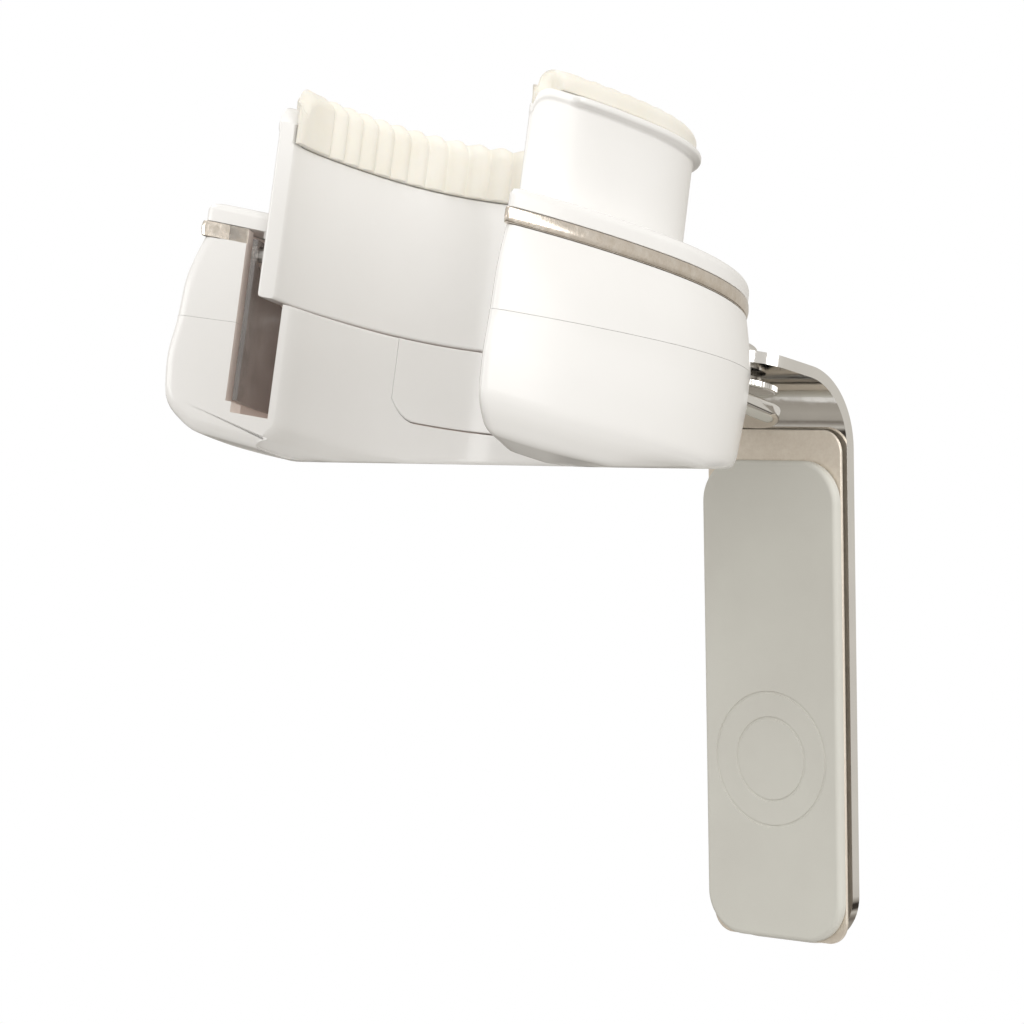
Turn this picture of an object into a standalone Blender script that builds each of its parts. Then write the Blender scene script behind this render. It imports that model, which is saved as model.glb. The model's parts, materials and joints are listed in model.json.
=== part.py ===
"""Wall yoke that holds an instrument by its neck and closes its own mouth.

A C-shaped housing hangs on a bent wall bracket and swivels on it. A sprung cradle slides
down inside the housing under load and pushes two curved gates out of the arm ends.
All sizes are in millimetres and become metres when a mesh is made.
"""
from math import cos, hypot, pi, radians, sin, sqrt, tan

import bmesh
import bpy
from mathutils import Matrix, Vector

MM = 0.001
CLEAR = 0.3                     # gap kept between neighbouring pieces

# Where the yoke stands in the wall frame: origin on the wall face, +Y into the wall.
YOKE_REACH = 85.4               # wall face to the cradle's centre
YOKE_HEIGHT = 68.0
YOKE_TILT = 12.4                # degrees that the mouth side is raised

# Plan shapes, centred on the cradle: half-width, half-depth, centre y, exponent.
CRADLE_PLAN = (27.3, 32.5, 0.0, 2.5, 32.5)
HOUSING_PLAN = (35.6, 51.9, 3.3, 2.08, 68.5)
BELLY_PLAN = (36.4, 51.2, 3.3, 2.08, 72.0)       # widest part of the lower shell
TIP_X = 25.5                    # inner corner of an arm's end face
TIP_Y = -14.9
TIP_FLARE = radians(24.5)       # how far the mouth flares outward

# Cradle.
SLEEVE_WALL = 2.2
SLEEVE_TOP = 31.6
RIM_LOW = 30.4
RIM_PROUD = 1.3
SEAT_LOW = 25.4                 # the pad's inner skirt starts above this ledge
SEAT_IN = 0.9
PAD_IN = -1.2
PAD_OUT = 3.3
PAD_TOP = 35.2
TRAVEL = 12.0

# Housing.
BAND_LOW = 8.2
BAND_TOP = 10.6
CAP_TOP = 14.0
PART_Z = -3.4                   # parting line at y = 0
PART_SLOPE = 0.06
BULGE = 1.8                     # the housing is this much wider at the parting line
WALL = 1.8
FLOOR_Z = -24.6
FLOOR_RISE = 0.165              # the underside rises towards the bracket
FLOOR_RISE_Y = -6.0             # from here back
FLOOR_TOP = -22.2
FLOOR_THICK = 2.4
INNER_TOP = -0.4                # top of the wall behind the cradle
INNER_FACE = -1.5
INNER_BACK = -0.3
RECESS_OUT = 4.1
RECESS_LOW = -19.0
LOWER_INNER = ((INNER_FACE, -20.8), (-0.6, -22.8), (1.6, -24.2))
LOWER_OUTER = ((HOUSING_PLAN, -7.7, FLOOR_Z), (HOUSING_PLAN, -4.2, -23.8), (BELLY_PLAN, -1.3, -21.6),
               (BELLY_PLAN, 0.7, -17.2), (BELLY_PLAN, 1.3, -11.5), (HOUSING_PLAN, BULGE, -6.0))
UPPER_OUTER = ((1.5, 1.0), (0.75, 5.0))     # (offset, height) above the parting line
BAND_SEAT = -1.2                # bottom of the groove that holds the trim band
CHAMBER_OUTER = ((-7.5, -22.0), (-3.8, -21.2), (-WALL, -18.8))
CHAMBER_TOP = 30.0              # above everything, where a cutter runs out
END_WEB = 3.0                   # closes each arm outside its gate slot
END_ROUND = 3.6                 # radius between end face and underside
CRADLE_PATH = 130.0             # rough length of the C along the cradle

# Gates: curved strips that turn about GATE_Y.
GATE_Y = -3.1
GATE_R = 32.5
GATE_THICK = 0.8
GATE_LOW = -17.0
GATE_TOP = 9.2
GATE_START = 60.0               # degrees from -Y
GATE_END = 110.0
GATE_TURN = 42.0
GATE_SLOT_R = (29.6, 33.7)
GATE_SLOT_ANGLES = (48.0, 67.0)
PIN_ANGLE = 64.0
PIN_Z = 7.0
PIN_R = 1.2
PIN_CLEAR = 0.3
PIN_INNER_R = 31.2

# Access panel in the wall behind the cradle.
PANEL_END_Y = 12.8
PANEL_LOW = -13.8
PANEL_CORNER = 3.4              # its lower corners rise by this much
PANEL_CORNER_Y = 17.5
PANEL_STATIONS = 24

# Springs and their posts: angle on the cradle plan, distance out from its inner face.
SPRING_SPOTS = {"left": (-66.0, 4.3), "right": (66.0, 4.3)}
SPRING_R = 1.4
SPRING_WIRE = 0.28
SPRING_TURNS = 5.0
POST_R = 0.9
POST_TOP = -14.2
SPRING_SEAT = -16.9             # flange that a spring stands on
FOOT_R = 2.0
FOOT_THICK = 2.5

# Swivel.
PIVOT_Y = 70.0
TONGUE_END = 81.5
TONGUE_HALF = 7.2
TONGUE_LOW = -3.4
TONGUE_TOP = 1.5
TONGUE_WAY_Y = (47.0, 62.0)     # depth of its slot in the shells
HEAD_HALF = 9.5
HEAD_FRONT = 44.0
HEAD_BACK = 50.6
HEAD_PLATE = 2.0                # plate above the tongue's head
CLAMP_SPOTS = {"left": (-6.0, 47.3), "right": (6.0, 47.3)}
CLAMP_WAY_R = 1.5
CLAMP_HEAD_R = 2.2
CLAMP_HEAD = 1.2
DISC_R = 9.0                    # knurled flange
DISC_NECK_R = 6.5
DISC_Z = (1.8, 3.2, 4.1)        # foot, flange top, neck top
SCREW_R = 2.4
SCREW_HEAD_R = 4.6
SCREW_HEAD = (1.6, 2.6)         # rise of its rim and of its crown
SCREW_FOOT = 1.7                # metal left below the screw's blind hole, with its clearance
SOCKET_R = 1.9
WASHER_R = 6.0
WASHER_THICK = 0.8

# Wall bracket: a strip bent once. Y is measured from the wall face, Z from the origin.
STRIP_HALF = 15.0
STRIP_THICK = 2.0
STRIP_BEND_R = 15.0             # outer radius
STRIP_CORNER_Z = 56.1           # where the two outer faces would meet
STRIP_LOW = -43.5
STRIP_LOW_R = 9.0
SHORT_LEG_TOP = 6.7             # outer face, in the yoke's own height
SHORT_LEG_FRONT = 58.0
SHORT_LEG_R = 8.0               # end corners, round enough for the yoke to turn past
PLATE_HALF = 14.6
PLATE_TOP = 47.4
PLATE_LOW = -43.0
PLATE_Y = (-3.4, -2.8)
PLATE_CORNER_R = 4.0
PAD_HALF = 14.7
GRIP_TOP = 42.0
GRIP_LOW = -42.8
GRIP_Y = (-5.4, -3.7)
GRIP_CORNER_R = 7.5
GRIP_BEVEL = 0.7
RIVET_R = 2.0
RIVET_Z = (32.0, -12.0, -34.0)
RIVET_BACK = -0.1               # just short of the wall face

# Screws that hold the two shells together.
SHELL_SCREWS = {"left": (-23.5, 36.0), "right": (23.5, 36.0),
                "back_left": (-14.0, 47.0), "back_right": (14.0, 47.0)}
BOSS_R = 2.6
SHANK_R = 1.2
HEAD_R = 2.4
HEAD_DEPTH = 1.9

# Sampling.
EVEN_STEPS = 36
END_STEPS = (0.0, 0.006, 0.014, 0.024)
DENSE = 1440


def plan_point(plan, angle, offset):
    """Point of a superellipse and its offset, angle 0 at the back and positive to +X."""
    half_x, half_y, centre_y, power, front_half_y = plan
    sx, cy = sin(angle), cos(angle)
    if cy < 0:
        half_y = front_half_y
    ux = abs(sx) ** (2 / power) * (1 if sx >= 0 else -1)
    uy = abs(cy) ** (2 / power) * (1 if cy >= 0 else -1)
    nx = abs(ux) ** (power - 1) / half_x * (1 if ux >= 0 else -1)
    ny = abs(uy) ** (power - 1) / half_y * (1 if uy >= 0 else -1)
    length = hypot(nx, ny)
    return half_x * ux + offset * nx / length, centre_y + half_y * uy + offset * ny / length


def inside_arm(x, y):
    """Distance behind the plane of the nearer arm's end face."""
    return (abs(x) - TIP_X) * cos(TIP_FLARE) + (y - TIP_Y) * sin(TIP_FLARE)


def half_path(plan, offset, inset):
    """Fine points of one arm of the C, from the back to its end plane."""
    points = [plan_point(plan, 0.0, offset)]
    for step in range(1, DENSE + 1):
        angle = pi * step / DENSE
        point = plan_point(plan, angle, offset)
        depth = inside_arm(*point) - inset
        if angle > pi / 2 and depth < 0:
            last = points[-1]
            last_depth = inside_arm(*last) - inset
            share = last_depth / (last_depth - depth)
            points.append((last[0] + share * (point[0] - last[0]),
                           last[1] + share * (point[1] - last[1])))
            break
        points.append(point)
    return points


def resample(points, fractions):
    lengths = [0.0]
    for a, b in zip(points, points[1:]):
        lengths.append(lengths[-1] + hypot(b[0] - a[0], b[1] - a[1]))
    result = []
    index = 0
    for fraction in fractions:
        target = fraction * lengths[-1]
        while index < len(lengths) - 2 and lengths[index + 1] < target:
            index += 1
        span = lengths[index + 1] - lengths[index]
        share = (target - lengths[index]) / span if span else 0.0
        a, b = points[index], points[index + 1]
        result.append((a[0] + share * (b[0] - a[0]), a[1] + share * (b[1] - a[1])))
    return result


def path_fractions():
    even = [END_STEPS[-1] + (1 - 2 * END_STEPS[-1]) * i / EVEN_STEPS for i in range(EVEN_STEPS + 1)]
    return list(END_STEPS[:-1]) + even + [1 - f for f in reversed(END_STEPS[:-1])]


FRACTIONS = path_fractions()


def c_path(plan, offset, inset=0.0, fractions=FRACTIONS):
    """Points along the C from the left arm's end plane to the right one's."""
    right = half_path(plan, offset, inset)
    left = [(-x, y) for x, y in reversed(right[1:])]
    return resample(left + right, fractions)


def end_lift(point, z):
    """The underside curves up to the end face."""
    depth = min(max(inside_arm(*point), 0.0), END_ROUND) if point[1] < 0 else END_ROUND
    lift = END_ROUND - sqrt(END_ROUND ** 2 - (END_ROUND - depth) ** 2)
    return z + lift * min(max((-13.0 - z) / 10.0, 0.0), 1.0)


def new_mesh_object(name, build):
    bm = bmesh.new()
    build(bm)
    bmesh.ops.recalc_face_normals(bm, faces=bm.faces)
    mesh = bpy.data.meshes.new(name)
    bm.to_mesh(mesh)
    bm.free()
    piece = bpy.data.objects.new(name, mesh)
    bpy.context.scene.collection.objects.link(piece)
    return piece


def loft(name, sections):
    """Skin a row of equal point loops, given in mm, and close both ends."""
    def build(bm):
        rows = [[bm.verts.new(Vector(p) * MM) for p in section] for section in sections]
        count = len(rows[0])
        for a, b in zip(rows, rows[1:]):
            for i in range(count):
                j = (i + 1) % count
                bm.faces.new((a[i], a[j], b[j], b[i]))
        bm.faces.new(rows[0])
        bm.faces.new(list(reversed(rows[-1])))
    return new_mesh_object(name, build)


def ring(name, profile, inset=0.0, lifted=False, fractions=FRACTIONS):
    """A profile of (plan, offset, z) points swept along the C. z may be a function of y."""
    columns = []
    for plan, offset, z in profile:
        path = c_path(plan, offset, inset, fractions)
        heights = [z(y) if callable(z) else z for _, y in path]
        if lifted:
            heights = [end_lift(point, h) for point, h in zip(path, heights)]
        columns.append([(x, y, h) for (x, y), h in zip(path, heights)])
    return loft(name, list(zip(*columns)))


def prism(name, outline, low, high, bevel=0.0):
    """Extrude an outline in XY from low to high, with an optional bevel at the top."""
    sections = [[(x, y, low) for x, y in outline]]
    if bevel:
        sections.append([(x, y, high - bevel) for x, y in outline])
        cx = sum(x for x, _ in outline) / len(outline)
        cy = sum(y for _, y in outline) / len(outline)
        reach_x = max(abs(x - cx) for x, _ in outline)
        reach_y = max(abs(y - cy) for _, y in outline)
        sx, sy = 1 - bevel / reach_x, 1 - bevel / reach_y
        sections.append([(cx + (x - cx) * sx, cy + (y - cy) * sy, high) for x, y in outline])
    else:
        sections.append([(x, y, high) for x, y in outline])
    return loft(name, sections)


def arc_points(cx, cy, radius, start, end, steps):
    """Points of an arc, degrees from +X."""
    angles = [radians(start + (end - start) * i / steps) for i in range(steps + 1)]
    return [(cx + radius * cos(a), cy + radius * sin(a)) for a in angles]


def rounded_rectangle(half_x, low, high, radius, steps=6):
    points = []
    for cx, cy, start in ((half_x, high, 0), (-half_x, high, 90), (-half_x, low, 180), (half_x, low, 270)):
        inner_x = cx - radius if cx > 0 else cx + radius
        inner_y = cy - radius if cy == high else cy + radius
        points += arc_points(inner_x, inner_y, radius, start, start + 90, steps)
    return points


def circle(cx, cy, radius, sides):
    return arc_points(cx, cy, radius, 0, 360 - 360 / sides, sides - 1)


def stack(name, cx, cy, rings_rz, sides):
    """A turned piece from its lowest ring to its highest, each ring (radius, z)."""
    sections = [[(x, y, z) for x, y in circle(cx, cy, r, sides)] for r, z in rings_rz]
    return loft(name, sections)


def polar_loft(name, spans, radius_in, radius_out):
    """Solid on a cylinder about the gate axis, from (angle, low, high) spans."""
    sections = []
    for angle, low, high in spans:
        sx, sy = sin(radians(angle)), -cos(radians(angle))
        sections.append([(radius_in * sx, GATE_Y + radius_in * sy, low),
                         (radius_out * sx, GATE_Y + radius_out * sy, low),
                         (radius_out * sx, GATE_Y + radius_out * sy, high),
                         (radius_in * sx, GATE_Y + radius_in * sy, high)])
    return loft(name, sections)


def mirrored(piece):
    for vertex in piece.data.vertices:
        vertex.co.x = -vertex.co.x
    piece.data.flip_normals()
    return piece


def as_cutter(piece):
    piece.hide_render = True
    piece.display_type = "WIRE"
    return piece


def boolean(piece, tool, operation="DIFFERENCE"):
    modifier = piece.modifiers.new(operation.title(), "BOOLEAN")
    modifier.operation = operation
    modifier.solver = "EXACT"
    modifier.object = as_cutter(tool)


def material(name, colour, roughness, metallic=0.0, alpha=1.0):
    result = bpy.data.materials.new(name)
    result.use_nodes = True
    shader = result.node_tree.nodes["Principled BSDF"]
    shader.inputs["Base Color"].default_value = (*colour, 1.0)
    shader.inputs["Roughness"].default_value = roughness
    shader.inputs["Metallic"].default_value = metallic
    shader.inputs["Alpha"].default_value = alpha
    return result


def finish(piece, look, parent, shift=(0.0, 0.0, 0.0), smooth=True):
    piece.data.materials.append(look)
    piece.parent = parent
    piece.location = Vector(shift) * MM
    if smooth:
        piece.data.shade_smooth()
        piece.data.set_sharp_from_angle(angle=radians(35))
    return piece


def parting(y):
    return PART_Z + PART_SLOPE * y


def floor_z(y):
    """Underside of the housing."""
    return FLOOR_Z + FLOOR_RISE * max(y - FLOOR_RISE_Y, 0.0)


def clipped(z, above=0.0):
    """A height as a function of y, kept from falling below the underside."""
    return lambda y: max(z, floor_z(y) + above)


def upper_parting(y):
    return parting(y) + CLEAR


def make_lower_shell():
    c, h = CRADLE_PLAN, HOUSING_PLAN
    profile = [(c, INNER_FACE, INNER_TOP)] + [(c, offset, clipped(z)) for offset, z in LOWER_INNER]
    profile += [(plan, offset, clipped(z)) for plan, offset, z in LOWER_OUTER]
    profile += [(h, BULGE, parting), (h, -WALL - 1.0, parting), (c, RECESS_OUT - 0.1, parting)]
    profile += [(c, INNER_BACK, INNER_TOP)]
    shell = ring("lower_shell", profile, lifted=True)
    boolean(shell, chamber_cutter("chamber_lower"))
    boolean(shell, recess_cutter("recess_lower"))
    for side in ("left", "right"):
        boolean(shell, slot_cutter("slot_lower_" + side, side, GATE_LOW - CLEAR))
    boolean(shell, tongue_cutter("tongue_way_lower"))
    boolean(shell, panel_ring("panel_way", (INNER_FACE - 2.0, INNER_BACK + 0.8), CLEAR, 8.0))
    for name, (x, y) in SHELL_SCREWS.items():
        boolean(shell, stack("screw_way_" + name, x, y, [
            (HEAD_R + CLEAR, floor_z(y) - 2), (HEAD_R + CLEAR, floor_z(y) + HEAD_DEPTH),
            (SHANK_R + CLEAR, floor_z(y) + HEAD_DEPTH), (SHANK_R + CLEAR, PART_Z - 6)], 14))
    return shell


def make_upper_shell():
    c, h = CRADLE_PLAN, HOUSING_PLAN
    low = upper_parting
    shell = ring("upper_shell", [
        (c, RECESS_OUT + 0.1, low), (h, BULGE, low), *[(h, offset, z) for offset, z in UPPER_OUTER],
        (h, 0.1, BAND_LOW - CLEAR), (h, BAND_SEAT, BAND_LOW - CLEAR), (h, BAND_SEAT, BAND_TOP),
        (c, RECESS_OUT + 0.1, BAND_TOP)])
    boolean(shell, chamber_cutter("chamber_upper"))
    for side in ("left", "right"):
        boolean(shell, slot_cutter("slot_upper_" + side, side, GATE_LOW - CLEAR))
    for name, (x, y) in SHELL_SCREWS.items():
        base = upper_parting(y) + CLEAR
        boolean(shell, stack("boss_" + name, x, y, [(BOSS_R, base), (BOSS_R, BAND_TOP - 1.0)], 16), "UNION")
        boolean(shell, stack("boss_hole_" + name, x, y, [
            (SHANK_R + CLEAR, base - 2), (SHANK_R + CLEAR, BAND_TOP - 3.0)], 12))
    boolean(shell, tongue_cutter("tongue_way_upper"))
    return shell


def chamber_cutter(name):
    c, h = CRADLE_PLAN, HOUSING_PLAN
    return ring(name, [
        (c, INNER_BACK, CHAMBER_TOP), (c, INNER_BACK, clipped(FLOOR_TOP, FLOOR_THICK)),
        *[(h, offset, clipped(z, FLOOR_THICK)) for offset, z in CHAMBER_OUTER], (h, -WALL, CHAMBER_TOP)], inset=END_WEB)


def recess_cutter(name):
    c = CRADLE_PLAN
    top = CHAMBER_TOP + 0.5
    low = clipped(RECESS_LOW, FLOOR_THICK)
    return ring(name, [(c, INNER_BACK, top), (c, INNER_BACK, low),
                       (c, RECESS_OUT, low), (c, RECESS_OUT, top)], inset=-4.0)


def slot_cutter(name, side, low):
    first, last = GATE_SLOT_ANGLES
    angles = [first + (last - first) * i / 8 for i in range(9)]
    cutter = polar_loft(name, [(a, low, CHAMBER_TOP + 1.0) for a in angles], *GATE_SLOT_R)
    return mirrored(cutter) if side == "left" else cutter


def box(name, x_range, y_range, z_range, half_x=None):
    if half_x is not None:
        x_range = (-half_x, half_x)
    outline = [(x_range[0], y_range[0]), (x_range[1], y_range[0]),
               (x_range[1], y_range[1]), (x_range[0], y_range[1])]
    return prism(name, outline, *z_range)


def tongue_cutter(name):
    return box(name, None, TONGUE_WAY_Y, (TONGUE_LOW - CLEAR, TONGUE_TOP + CLEAR),
               half_x=TONGUE_HALF + CLEAR)


def panel_low(y, clearance):
    """The panel's lower edge, with its corners rounded off."""
    share = max((PANEL_CORNER_Y - y) / (PANEL_CORNER_Y - PANEL_END_Y), 0.0)
    return PANEL_LOW - clearance + PANEL_CORNER * share ** 2


def panel_ring(name, offsets, clearance, top):
    """The stretch of the inner wall that the access panel fills."""
    plan = CRADLE_PLAN
    path = c_path(plan, INNER_FACE, 0.0, [i / 400 for i in range(401)])
    first = next(i for i, (_, y) in enumerate(path) if y > PANEL_END_Y) / 400
    first -= clearance / CRADLE_PATH
    steps = PANEL_STATIONS
    fractions = [first + (1 - 2 * first) * i / steps for i in range(steps + 1)]

    def low(y):
        return panel_low(y, clearance)
    return ring(name, [(plan, offsets[0], top), (plan, offsets[0], low),
                       (plan, offsets[1], low), (plan, offsets[1], top)], fractions=fractions)


def make_access_panel():
    return panel_ring("access_panel", (INNER_FACE, INNER_BACK), 0.0, INNER_TOP)


def make_trim_band():
    h = HOUSING_PLAN
    return ring("trim_band", [(h, 0.1, BAND_LOW), (h, 0.25, (BAND_LOW + BAND_TOP) / 2), (h, 0.1, BAND_TOP),
                              (h, -0.9, BAND_TOP), (h, -0.9, BAND_LOW)])


def make_top_cap():
    c, h = CRADLE_PLAN, HOUSING_PLAN
    low = BAND_TOP + CLEAR
    lip = SLEEVE_WALL + 0.4
    return ring("top_cap", [
        (c, lip, CAP_TOP), (c, lip, GATE_TOP + 0.4), (c, lip + 0.8, GATE_TOP + 0.4), (c, lip + 0.8, low),
        (h, 0.0, low), (h, 0.0, CAP_TOP - 1.2), (h, -0.5, CAP_TOP - 0.35), (h, -1.4, CAP_TOP)])


def make_sleeve():
    c = CRADLE_PLAN
    w = SLEEVE_WALL
    return ring("cradle_sleeve", [
        (c, 0.0, 0.0), (c, w, 0.0), (c, w, RIM_LOW - 0.4), (c, w + RIM_PROUD, RIM_LOW),
        (c, w + RIM_PROUD, SLEEVE_TOP - 0.3), (c, w + RIM_PROUD - 0.4, SLEEVE_TOP),
        (c, SEAT_IN, SLEEVE_TOP), (c, SEAT_IN, SEAT_LOW), (c, 0.0, SEAT_LOW)])


def make_cradle_pad():
    c = CRADLE_PLAN
    base = SLEEVE_TOP + CLEAR
    return ring("cradle_pad", [
        (c, PAD_IN, SEAT_LOW + CLEAR), (c, SEAT_IN - CLEAR, SEAT_LOW + CLEAR), (c, SEAT_IN - CLEAR, base),
        (c, PAD_OUT, base), (c, PAD_OUT, PAD_TOP - 1.6), (c, PAD_OUT - 1.3, PAD_TOP),
        (c, PAD_IN + 1.3, PAD_TOP), (c, PAD_IN, PAD_TOP - 1.6)])


def track_span(x, run, half):
    """Lowest and highest point that a pin of radius half sweeps at arc length x."""
    reach = []
    for i in range(201):
        pin_x = run * i / 200
        if abs(x - pin_x) <= half:
            lift = sqrt(half ** 2 - (x - pin_x) ** 2)
            height = PIN_Z - TRAVEL * i / 200
            reach += [height - lift, height + lift]
    return min(reach), max(reach)


def make_gate(side):
    steps = 24
    spans = [(GATE_START + (GATE_END - GATE_START) * i / steps, GATE_LOW, GATE_TOP) for i in range(steps + 1)]
    gate = polar_loft("gate_" + side, spans, GATE_R - GATE_THICK / 2, GATE_R + GATE_THICK / 2)
    half = PIN_R + PIN_CLEAR
    run = radians(GATE_TURN) * GATE_R
    stations = [-0.97, -0.8, -0.45, 0.0, 0.5, 1.0]
    places = [half * s for s in stations]
    places += [half + (run - 2 * half) * i / 10 for i in range(1, 10)]
    places += [run - half * s for s in reversed(stations)]
    track = []
    for x in places:
        track.append((PIN_ANGLE + x / GATE_R * 180 / pi, *track_span(x, run, half)))
    cutter = polar_loft("gate_track_" + side, track, GATE_R - 2, GATE_R + 2)
    if side == "left":
        mirrored(gate)
        mirrored(cutter)
    boolean(gate, cutter)
    return gate


def make_drive_pin(side):
    """Pin that stands out of the sleeve, through the gate's slanted track."""
    angle = radians(PIN_ANGLE)
    out = Vector((sin(angle), -cos(angle), 0.0))
    across = Vector((cos(angle), sin(angle), 0.0))
    centre = Vector((0.0, GATE_Y, PIN_Z))
    inner = PIN_INNER_R
    outer = GATE_R + GATE_THICK / 2 + CLEAR
    sections = []
    for radius in (inner, outer):
        middle = centre + out * radius
        sections.append([tuple(middle + across * (x * PIN_R) + Vector((0, 0, z * PIN_R)))
                         for x, z in circle(0, 0, 1.0, 12)])
    pin = loft("drive_pin_" + side, sections)
    return mirrored(pin) if side == "left" else pin


def spring_spot(name):
    angle, offset = SPRING_SPOTS[name]
    x, y = plan_point(CRADLE_PLAN, radians(angle), offset)
    inner_x, inner_y = plan_point(CRADLE_PLAN, radians(angle), SLEEVE_WALL + CLEAR)
    return Vector((x, y)), Vector((inner_x, inner_y))


def make_foot(name):
    """Ledge on the sleeve that its spring pushes up."""
    spot, root = spring_spot(name)
    out = (spot - root).normalized()
    across = Vector((-out.y, out.x))
    outline = [root - across * FOOT_R, root + across * FOOT_R]
    for i in range(9):
        turn = radians(90 - 180 * i / 8)
        outline.append(spot + across * (FOOT_R * sin(turn)) + out * (FOOT_R * cos(turn)))
    return prism("sleeve_foot_" + name, [tuple(p) for p in outline], 0.0, FOOT_THICK)


def make_post(name):
    spot, _ = spring_spot(name)
    return stack("spring_post_" + name, spot.x, spot.y,
                 [(SPRING_R - 0.4, SPRING_SEAT - 0.5), (SPRING_R, SPRING_SEAT - 0.1), (SPRING_R, SPRING_SEAT),
                  (POST_R, SPRING_SEAT), (POST_R, POST_TOP - 0.5),
                  (POST_R - 0.4, POST_TOP)], 12)


def make_spring(name):
    spot, _ = spring_spot(name)
    low = SPRING_SEAT + CLEAR + SPRING_WIRE
    high = -CLEAR - SPRING_WIRE
    per_turn, sides = 12, 5
    steps = int(SPRING_TURNS * per_turn)
    pitch = (high - low) / SPRING_TURNS
    sections = []
    for i in range(steps + 1):
        angle = 2 * pi * i / per_turn
        radial = Vector((cos(angle), sin(angle), 0.0))
        middle = Vector((spot.x, spot.y, low + pitch * i / per_turn)) + radial * SPRING_R
        along = Vector((-sin(angle), cos(angle), pitch / (2 * pi * SPRING_R))).normalized()
        binormal = along.cross(radial)
        sections.append([tuple(middle + radial * (x * SPRING_WIRE) + binormal * (z * SPRING_WIRE))
                         for x, z in circle(0, 0, 1.0, sides)])
    return loft("return_spring_" + name, sections)


def make_tongue():
    bar = TONGUE_HALF
    centre_y = TONGUE_END - bar
    outline = [(-HEAD_HALF, HEAD_FRONT), (HEAD_HALF, HEAD_FRONT), (HEAD_HALF, HEAD_BACK), (bar, HEAD_BACK)]
    outline += arc_points(0.0, centre_y, bar, 0, 180, 14)
    outline += [(-bar, HEAD_BACK), (-HEAD_HALF, HEAD_BACK)]
    tongue = prism("tongue", outline, TONGUE_LOW, TONGUE_TOP)
    hole = SCREW_R + CLEAR
    floor = TONGUE_LOW + SCREW_FOOT - CLEAR
    boolean(tongue, stack("pivot_way", 0.0, PIVOT_Y, [(hole, floor), (hole, TONGUE_TOP + 3)], 24))
    for side, spot in CLAMP_SPOTS.items():
        boolean(tongue, stack("clamp_way_" + side, *spot, clamp_way(), 14))
    return tongue


def clamp_way():
    return [(CLAMP_WAY_R, TONGUE_LOW - 3.0), (CLAMP_WAY_R, TONGUE_TOP + HEAD_PLATE + 3.0)]


def make_tongue_plate():
    """Plate inside the shells that clamps the tongue's head."""
    low = TONGUE_TOP + CLEAR
    plate = box("tongue_plate", None, (HEAD_FRONT, HEAD_BACK), (low, low + HEAD_PLATE), half_x=HEAD_HALF)
    for side, spot in CLAMP_SPOTS.items():
        boolean(plate, stack("plate_way_" + side, *spot, clamp_way(), 14))
    return plate


def make_tongue_screw(side):
    top = TONGUE_TOP + CLEAR + HEAD_PLATE + CLEAR
    return stack("tongue_screw_" + side, *CLAMP_SPOTS[side], [
        (SHANK_R, TONGUE_LOW - 3.0), (SHANK_R, top), (CLAMP_HEAD_R, top),
        (CLAMP_HEAD_R, top + CLAMP_HEAD), (CLAMP_HEAD_R - 0.6, top + CLAMP_HEAD + 0.4)], 14)


def make_shell_screw(name, x, y):
    head = floor_z(y) + HEAD_DEPTH - CLEAR
    return stack("shell_screw_" + name, x, y, [
        (HEAD_R - 0.3, head - 0.9), (HEAD_R, head - 0.6), (HEAD_R, head), (SHANK_R, head),
        (SHANK_R, BAND_TOP - 4.0)], 14)


def strip_frames():
    """Outer-face point, outward direction and half-width along the bracket's strip."""
    turn = radians(90 - YOKE_TILT)
    reach = STRIP_BEND_R * tan(turn / 2)
    frames = []
    straight_top = STRIP_CORNER_Z - reach
    for i in range(7):
        back = STRIP_LOW_R * (1 - cos(pi / 2 * i / 6))
        frames.append((0.0, STRIP_LOW + back, 0.0))
    frames.append((0.0, straight_top, 0.0))
    centre = (-STRIP_BEND_R, straight_top)
    for i in range(1, 13):
        angle = turn * i / 12
        frames.append((centre[0] + STRIP_BEND_R * cos(angle), centre[1] + STRIP_BEND_R * sin(angle), angle))
    direction = (-sin(turn), cos(turn))
    corner = Vector((0.0, STRIP_CORNER_Z))
    length = short_leg_length(corner)
    for i in range(7):
        back = SHORT_LEG_R * (1 - sin(pi / 2 * i / 6))
        run = length - back
        frames.append((corner.x + direction[0] * run, corner.y + direction[1] * run, turn))
    return frames


def short_leg_length(corner):
    """From the corner to the short leg's free end, along the outer face."""
    tilt = radians(YOKE_TILT)
    corner_in_yoke = (corner.x + YOKE_REACH) * cos(tilt) - (corner.y - YOKE_HEIGHT) * sin(tilt)
    return corner_in_yoke - SHORT_LEG_FRONT


def strip_half(index, count):
    """Half-width of the strip, with rounded corners at both ends."""
    if index < 7:
        return STRIP_HALF - STRIP_LOW_R * (1 - sin(pi / 2 * index / 6))
    if index >= count - 7:
        return STRIP_HALF - SHORT_LEG_R * (1 - cos(pi / 2 * (index - count + 7) / 6))
    return STRIP_HALF


def make_bracket():
    frames = strip_frames()
    sections = []
    for index, (y, z, angle) in enumerate(frames):
        half = strip_half(index, len(frames))
        inner_y = y - STRIP_THICK * cos(angle)
        inner_z = z - STRIP_THICK * sin(angle)
        sections.append([(-half, y, z), (half, y, z), (half, inner_y, inner_z), (-half, inner_y, inner_z)])
    bracket = loft("bracket_arm", sections)
    pivot = pivot_in_wall_frame()
    hole = stack("bracket_pivot_way", 0.0, 0.0, [(SCREW_R + CLEAR, 0.0), (SCREW_R + CLEAR, 20.0)], 24)
    hole.location = pivot * MM
    hole.rotation_euler = (radians(-YOKE_TILT), 0.0, 0.0)
    boolean(bracket, hole)
    for index, z in enumerate(RIVET_Z):
        boolean(bracket, rivet_shape("rivet_way_%d" % index, z, RIVET_R + CLEAR, -4.0, 1.0))
    return bracket


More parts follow.
